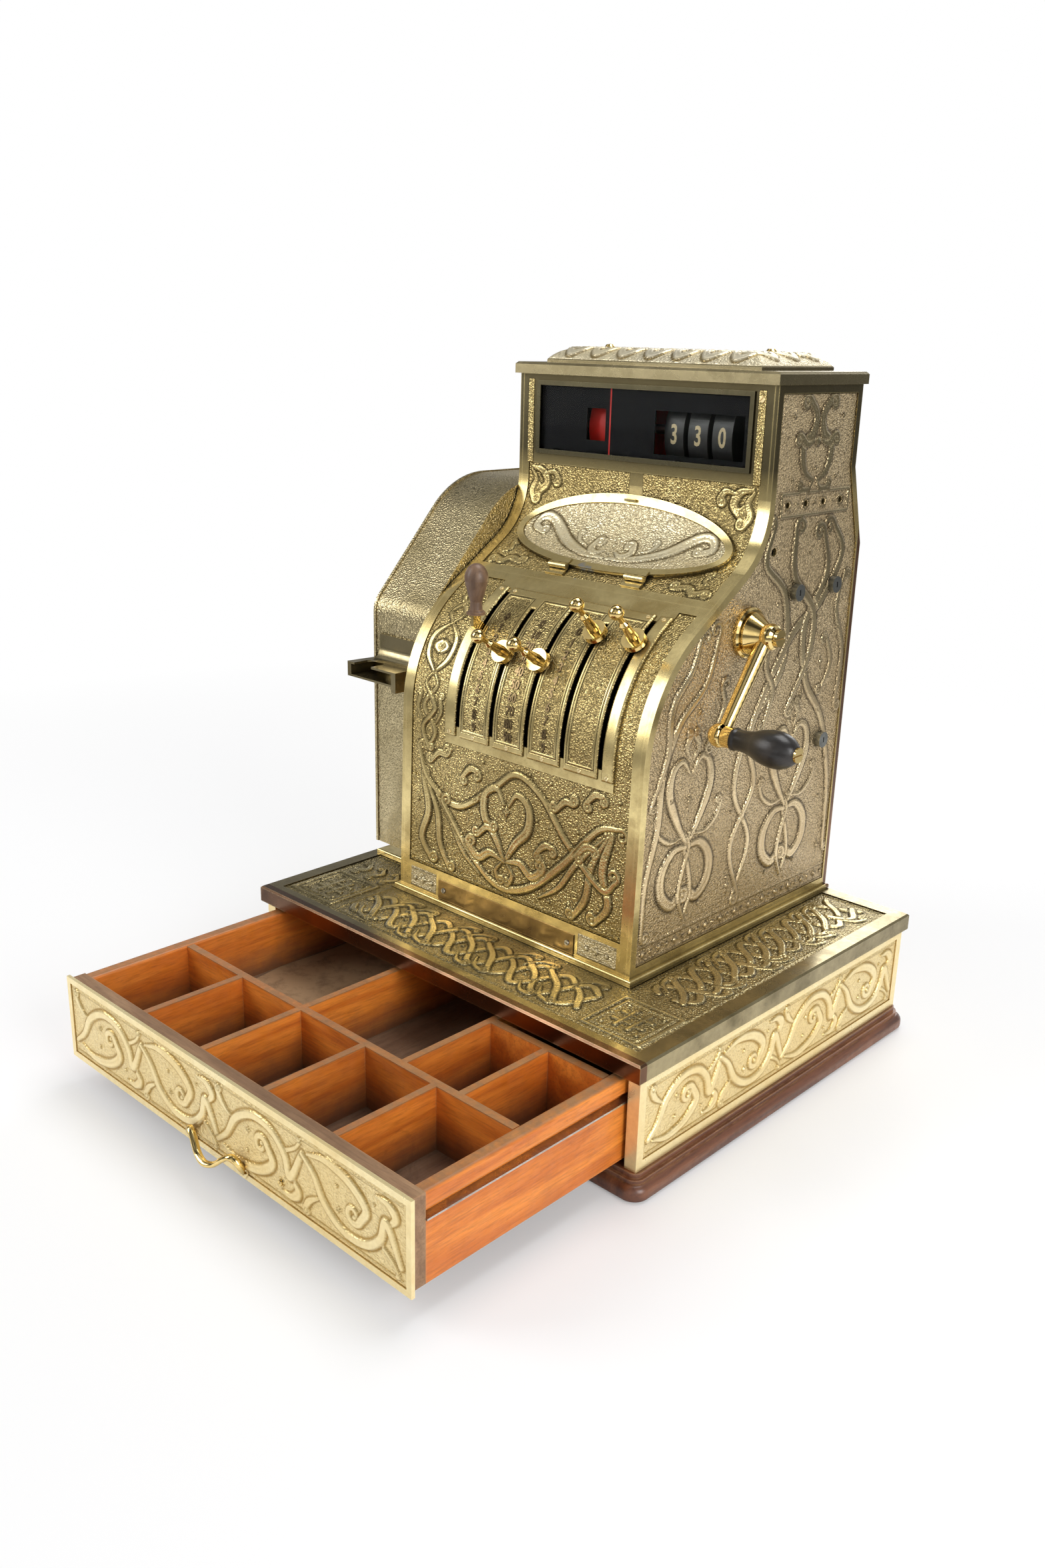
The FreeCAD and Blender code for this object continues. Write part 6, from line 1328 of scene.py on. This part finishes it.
def swept(name, body, line, across, radii, look, replaced=None, sides=14):
    """A closed bar of oval section along a smooth line."""
    tangent = np.gradient(line, axis=0)
    tangent /= np.linalg.norm(tangent, axis=1)[:, None]
    flat = np.cross(tangent, across)
    flat /= np.linalg.norm(flat, axis=1)[:, None]
    other = np.cross(tangent, flat)
    verts = [line[k] + radii[0] * math.cos(t) * flat[k] + radii[1] * math.sin(t) * other[k]
             for k in range(len(line)) for t in np.linspace(0, 2 * math.pi, sides + 1)[:-1]]
    faces = [[k * sides + j, k * sides + (j + 1) % sides, (k + 1) * sides + (j + 1) % sides,
              (k + 1) * sides + j] for k in range(len(line) - 1) for j in range(sides)]
    last = (len(line) - 1) * sides
    faces += [list(range(sides))[::-1], list(range(last, last + sides))]
    piece_of(name, body, verts, faces, look, True, replaced)


HALF_PULL = [(32.5, -402.9, 29.0), (33.0, -406.5, 34.5), (30.5, -409.0, 40.0), (25.5, -411.0, 42.0),
             (18.5, -413.0, 37.5), (10.0, -415.5, 30.5), (0.0, -417.0, 27.8)]
PULL = np.array(HALF_PULL + [(-x, y, z) for x, y, z in HALF_PULL[-2::-1]])
PULL_LINE = np.vstack(spline(PULL, np.linspace(0, 1, 8, endpoint=False)) + [PULL[-1:]])
swept("smooth_drawer_pull", "drawer", PULL_LINE, (0.0, 1.0, 0.3), (2.1, 3.0), "shiny",
      ["drawer_pull"])
FACING = ((1, 0, 0), (0, 0, 1), (0, -1, 0))
screws("pull_rosettes", "drawer", [((np.array([x, -403.9, 29.5]), *FACING), 4.6, 0.4)
                                   for x in (-32.5, 32.5)], "pale")
screws("drawer_lock_knob", "drawer",
       [((np.array([77.0, -402.6, 42.5]), *FACING), 3.2, 0.9),
        ((np.array([77.0, -404.2, 42.5]), *FACING), 2.2, 0.9)], "shiny")

LOW_ROW, HIGH_ROW, ON_PLATE = PLATE_LOW + 3.4, PLATE_HIGH - 4.5, 1.9
spots = [(front_frame(x, LOW_ROW, ON_PLATE), 2.0, 0.5 + x) for x in (-47.5, -6.5, 34.5, 75.5)]
spots += [(front_frame(x, s, ON_PLATE), 2.0, x) for x in (-77.0, 104.5)
          for s in (LOW_ROW, HIGH_ROW)]
spots += [(front_frame(x, HIGH_ROW, ON_PLATE), 1.8, x) for x in (-60.5, 88.5)]
screws("quadrant_screws", "register", spots, "pale")
SERIAL_SEAT_Y = -101.5  # where its screws sit, just inside the plate's face
serial_s = FRONT.s_of(128.5)
serial_h = float(FRONT.place(0.0, np.array([serial_s]), 0.0)[1][0]) - SERIAL_SEAT_Y
screws("serial_plate_screws", "register", [(front_frame(x, serial_s, serial_h), 2.4, x)
                                           for x in (-80.0, 72.0)], "steel")
rivets = [(front_frame(x, s, -0.7), 1.5, x) for x in (-123.5, 123.5)
          for s in (LOW_S + 4, FRONT.s_of(230.0), RAMP_S - 40)]
screws("casing_rivets", "register", rivets, "cast")

BAND_S = (FRONT.s_of(121.5), FRONT.s_of(140.5))
for side_name, low_x, high_x in (("left", -125.0, -91.0), ("right", 83.0, 125.0)):
    band = Relief((low_x, BAND_S[0]), (high_x, BAND_S[1]), 0.6)
    middle = (BAND_S[0] + BAND_S[1]) / 2
    for s in (BAND_S[0] + 1.2, BAND_S[1] - 1.2):
        band.bar((low_x + 1.2, s), (high_x - 1.2, s), 0.6, 0.6, over=True)
    band.diamond((low_x + high_x) / 2, middle, 7.5, 5.5, 1.0, hollow=False)
    for shift in (-11.0, 11.0):
        band.dot((low_x + high_x) / 2 + shift, middle - 1, 2.0)
    skin(f"relief_foot_band_{side_name}", "register", band, FRONT.place,
         "door_relief", 1.4, ground=0.1, depth=-0.4, double=True)

STRIP_HALF, STRIP_HEIGHT = 3.4, 74.0
for side_name, x in (("left", -126.0), ("right", 125.0)):
    corners = ((x - STRIP_HALF, 0.0), (x + STRIP_HALF, STRIP_HEIGHT))
    strip = Relief(*corners, 0.6)
    edge = box_margin(*np.meshgrid(strip.u, strip.v), *corners)
    strip.h = 1 - smooth(0.7, 1.6, edge)
    skin(f"relief_window_strip_{side_name}", "register", strip,
         lambda u, v, h: (u + 0 * h, FRONT_Y - h + 0 * u, v + WINDOW_FOOT + 0 * h), "cast_relief",
         0.8, ground=0.5, depth=-0.4, double=True)
screws("window_strip_screw", "register",
       [((np.array([125.0, FRONT_Y - 0.9, 569.0]), *FACING), 2.6, 0.8)], "pale")

# closing wall of the printer cover, just outside the cabinet's side
COVER_ANGLE, CROWN_R, ROUND_R = 48.0, 88.4, 20.4
crown = arc(76.0, 394.5, CROWN_R, COVER_ANGLE, 0.0, 14)
nose = [(-44.0 - ROUND_R * math.cos(math.radians(a)), ROUND_R * math.sin(math.radians(a)))
        for a in np.linspace(0.0, 42.0, 8)]
run = (crown[0][0] - nose[-1][0]) / math.cos(math.radians(COVER_ANGLE))
lift_z = crown[0][1] - run * math.sin(math.radians(COVER_ANGLE)) - nose[-1][1]
back_round = [(128.0 + ROUND_R * math.sin(math.radians(a)),
               462.5 + ROUND_R * math.cos(math.radians(a)))
              for a in np.linspace(15.0, 90.0, 6)]
COVER_LOOP = ([(-64.4, 133.7), (-64.4, lift_z)] + [(y, z + lift_z) for y, z in nose[1:]] + crown
              + [(128.0, 482.9)] + back_round + [(148.4, 133.7)])
verts, faces = [], []
extruded(verts, faces, COVER_LOOP, ((0, 0, 0), (0, 1, 0), (0, 0, 1), (1, 0, 0)), -142.4, -141.0)
piece_of("printer_cover_wall", "register", verts, faces, "stippled")

# red face of the flag, beyond the drum's rim but clear of the sale rack at x -69.5 to -66.5
FLAG_X, FLAG_OUTER, FLAG_INNER = (-66.2, -38.9), 45.6, 43.6
FLAG_HALF = 0.42  # radians either way from the front
flag_ring = [(WHEEL_Y - radius * math.cos(way * t), WHEEL_Z + radius * math.sin(way * t))
             for radius, way in ((FLAG_OUTER, 1), (FLAG_INNER, -1))
             for t in np.linspace(-FLAG_HALF, FLAG_HALF, 16)]
count = len(flag_ring)
verts = [(x, y, z) for x in FLAG_X for y, z in flag_ring]
faces = [[k, (k + 1) % count, count + (k + 1) % count, count + k] for k in range(count)]
for base_index in (0, count):
    faces += [[base_index + k, base_index + k + 1, base_index + count - 2 - k,
               base_index + count - 1 - k] for k in range(count // 2 - 1)]
piece_of("red_flag_face", "sale_drum", verts, faces, "red")

# red line painted on the mask
line_verts, line_faces = [], []
extruded(line_verts, line_faces, [(-34.4, 513.0), (-33.0, 513.0), (-33.0, 573.0), (-34.4, 573.0)],
         ((0, 52.5, 0), (1, 0, 0), (0, 0, 1), (0, -1, 0)), -0.2, 0.15)
piece_of("mask_red_line", "register", line_verts, line_faces, "red")

# old sheet of paper on the floor of the note space
PAPER = [(-192, -246), (-186, -253), (-176, -247), (-162, -256), (-148, -251), (-131, -259),
         (-118, -252), (-104, -262), (-92, -255), (-79, -263), (-66, -256), (-56, -258),
         (-52, -240), (-56, -214), (-49, -180), (-52, -120), (-50, -76), (-120, -74), (-198, -76),
         (-196, -140), (-199, -200)]
verts, faces = [], []
extruded(verts, faces, PAPER, ((0, 0, 42.4), (1, 0, 0), (0, 1, 0), (0, 0, 1)), 0.05, 0.35)
piece_of("old_paper", "drawer", verts, faces, "paper")


# ------------------------------------------------------------------ stage, light and the last lines

# brightness of the world from straight down to straight up
WORLD_STOPS = ((0.0, 0.85), (0.5, 0.9), (0.62, 0.62), (0.72, 0.22), (0.86, 0.3), (1.0, 0.5))


def light_and_floor():
    """A white world and pale floor; glossy rays see a patched room and a darker far floor."""
    world = bpy.data.worlds.new("studio")
    bpy.context.scene.world = world
    w = Nodes(world, "Generated")
    ramp = w.add("ShaderNodeValToRGB", {0: w.span(w.axis("Z"), -1.0, 1.0)})
    while len(ramp.color_ramp.elements) < len(WORLD_STOPS):
        ramp.color_ramp.elements.new(0.5)
    for element, (at, level) in zip(ramp.color_ramp.elements, WORLD_STOPS):
        element.position = at
        element.color = (level, level, level * 0.985, 1.0)
    contrast = w.span(w.noise(1.7, 1.0, 0.5), 0.40, 0.60, 0.10, 1.75)
    rays = w.add("ShaderNodeLightPath").outputs
    room = w.mix(rays["Is Glossy Ray"], ramp.outputs[0], contrast, "MULTIPLY")
    white = w.mix(rays["Is Camera Ray"], room, (1.0, 1.0, 1.0))
    w.tree.links.new(white, w.tree.nodes["Background"].inputs["Color"])

    floor_mesh = bpy.data.meshes.new("studio_floor")
    bm = bmesh.new()
    bmesh.ops.create_circle(bm, cap_ends=True, radius=9.0, segments=64)
    bm.to_mesh(floor_mesh)
    bm.free()
    floor = bpy.data.objects.new("studio_floor", floor_mesh)
    bpy.context.scene.collection.objects.link(floor)
    floor.location.z = -0.0002
    f = Finish("studio_floor_paint", Base_Color=(0.86, 0.86, 0.87, 1.0), Roughness=0.7,
               Specular_IOR_Level=0.2)
    rays = f.add("ShaderNodeLightPath").outputs
    far = f.add("ShaderNodeVectorMath", {0: f.place}, operation="LENGTH").outputs["Value"]
    glow = f.add("ShaderNodeEmission", {"Color": (1.0, 1.0, 1.0, 1.0)}).outputs[0]
    dark = f.add("ShaderNodeEmission", {"Color": (0.10, 0.095, 0.085, 1.0)}).outputs[0]
    to_camera = f.sum(rays["Is Camera Ray"], f.span(far, 0.35, 1.5, 0.25, 1.0), "MULTIPLY")
    to_gloss = f.sum(f.span(far, 0.75, 1.5, 0.0, 0.85), rays["Is Glossy Ray"], "MULTIPLY")
    blend = f.add("ShaderNodeMixShader", {0: to_camera, 1: f.shader.outputs[0], 2: glow}).outputs[0]
    last = f.add("ShaderNodeMixShader", {0: to_gloss, 1: blend, 2: dark}).outputs[0]
    f.tree.links.new(last, f.tree.nodes["Material Output"].inputs[0])
    floor_mesh.materials.append(f.material)

    for name, place, aim, width, height, power in (
            ("left_softbox", (-1.7, -1.9, 1.5), (0, -0.1, 0.3), 1.3, 1.7, 34.0),
            ("right_softbox", (2.4, -0.5, 1.1), (0, 0, 0.25), 1.2, 1.6, 38.0),
            ("top_softbox", (0.2, 0.5, 2.6), (0, 0, 0.1), 1.6, 1.2, 30.0),
            ("back_softbox", (-0.8, 2.4, 1.3), (0, 0, 0.3), 1.4, 1.2, 18.0)):
        data = bpy.data.lights.new(name, "AREA")
        data.shape, data.size, data.size_y, data.energy = "RECTANGLE", width, height, power
        lamp = bpy.data.objects.new(name, data)
        bpy.context.scene.collection.objects.link(lamp)
        lamp.location = place
        lamp.rotation_euler = (Vector(aim) - Vector(place)).to_track_quat("-Z", "Y").to_euler()


light_and_floor()
bpy.context.scene.view_settings.view_transform = "Standard"
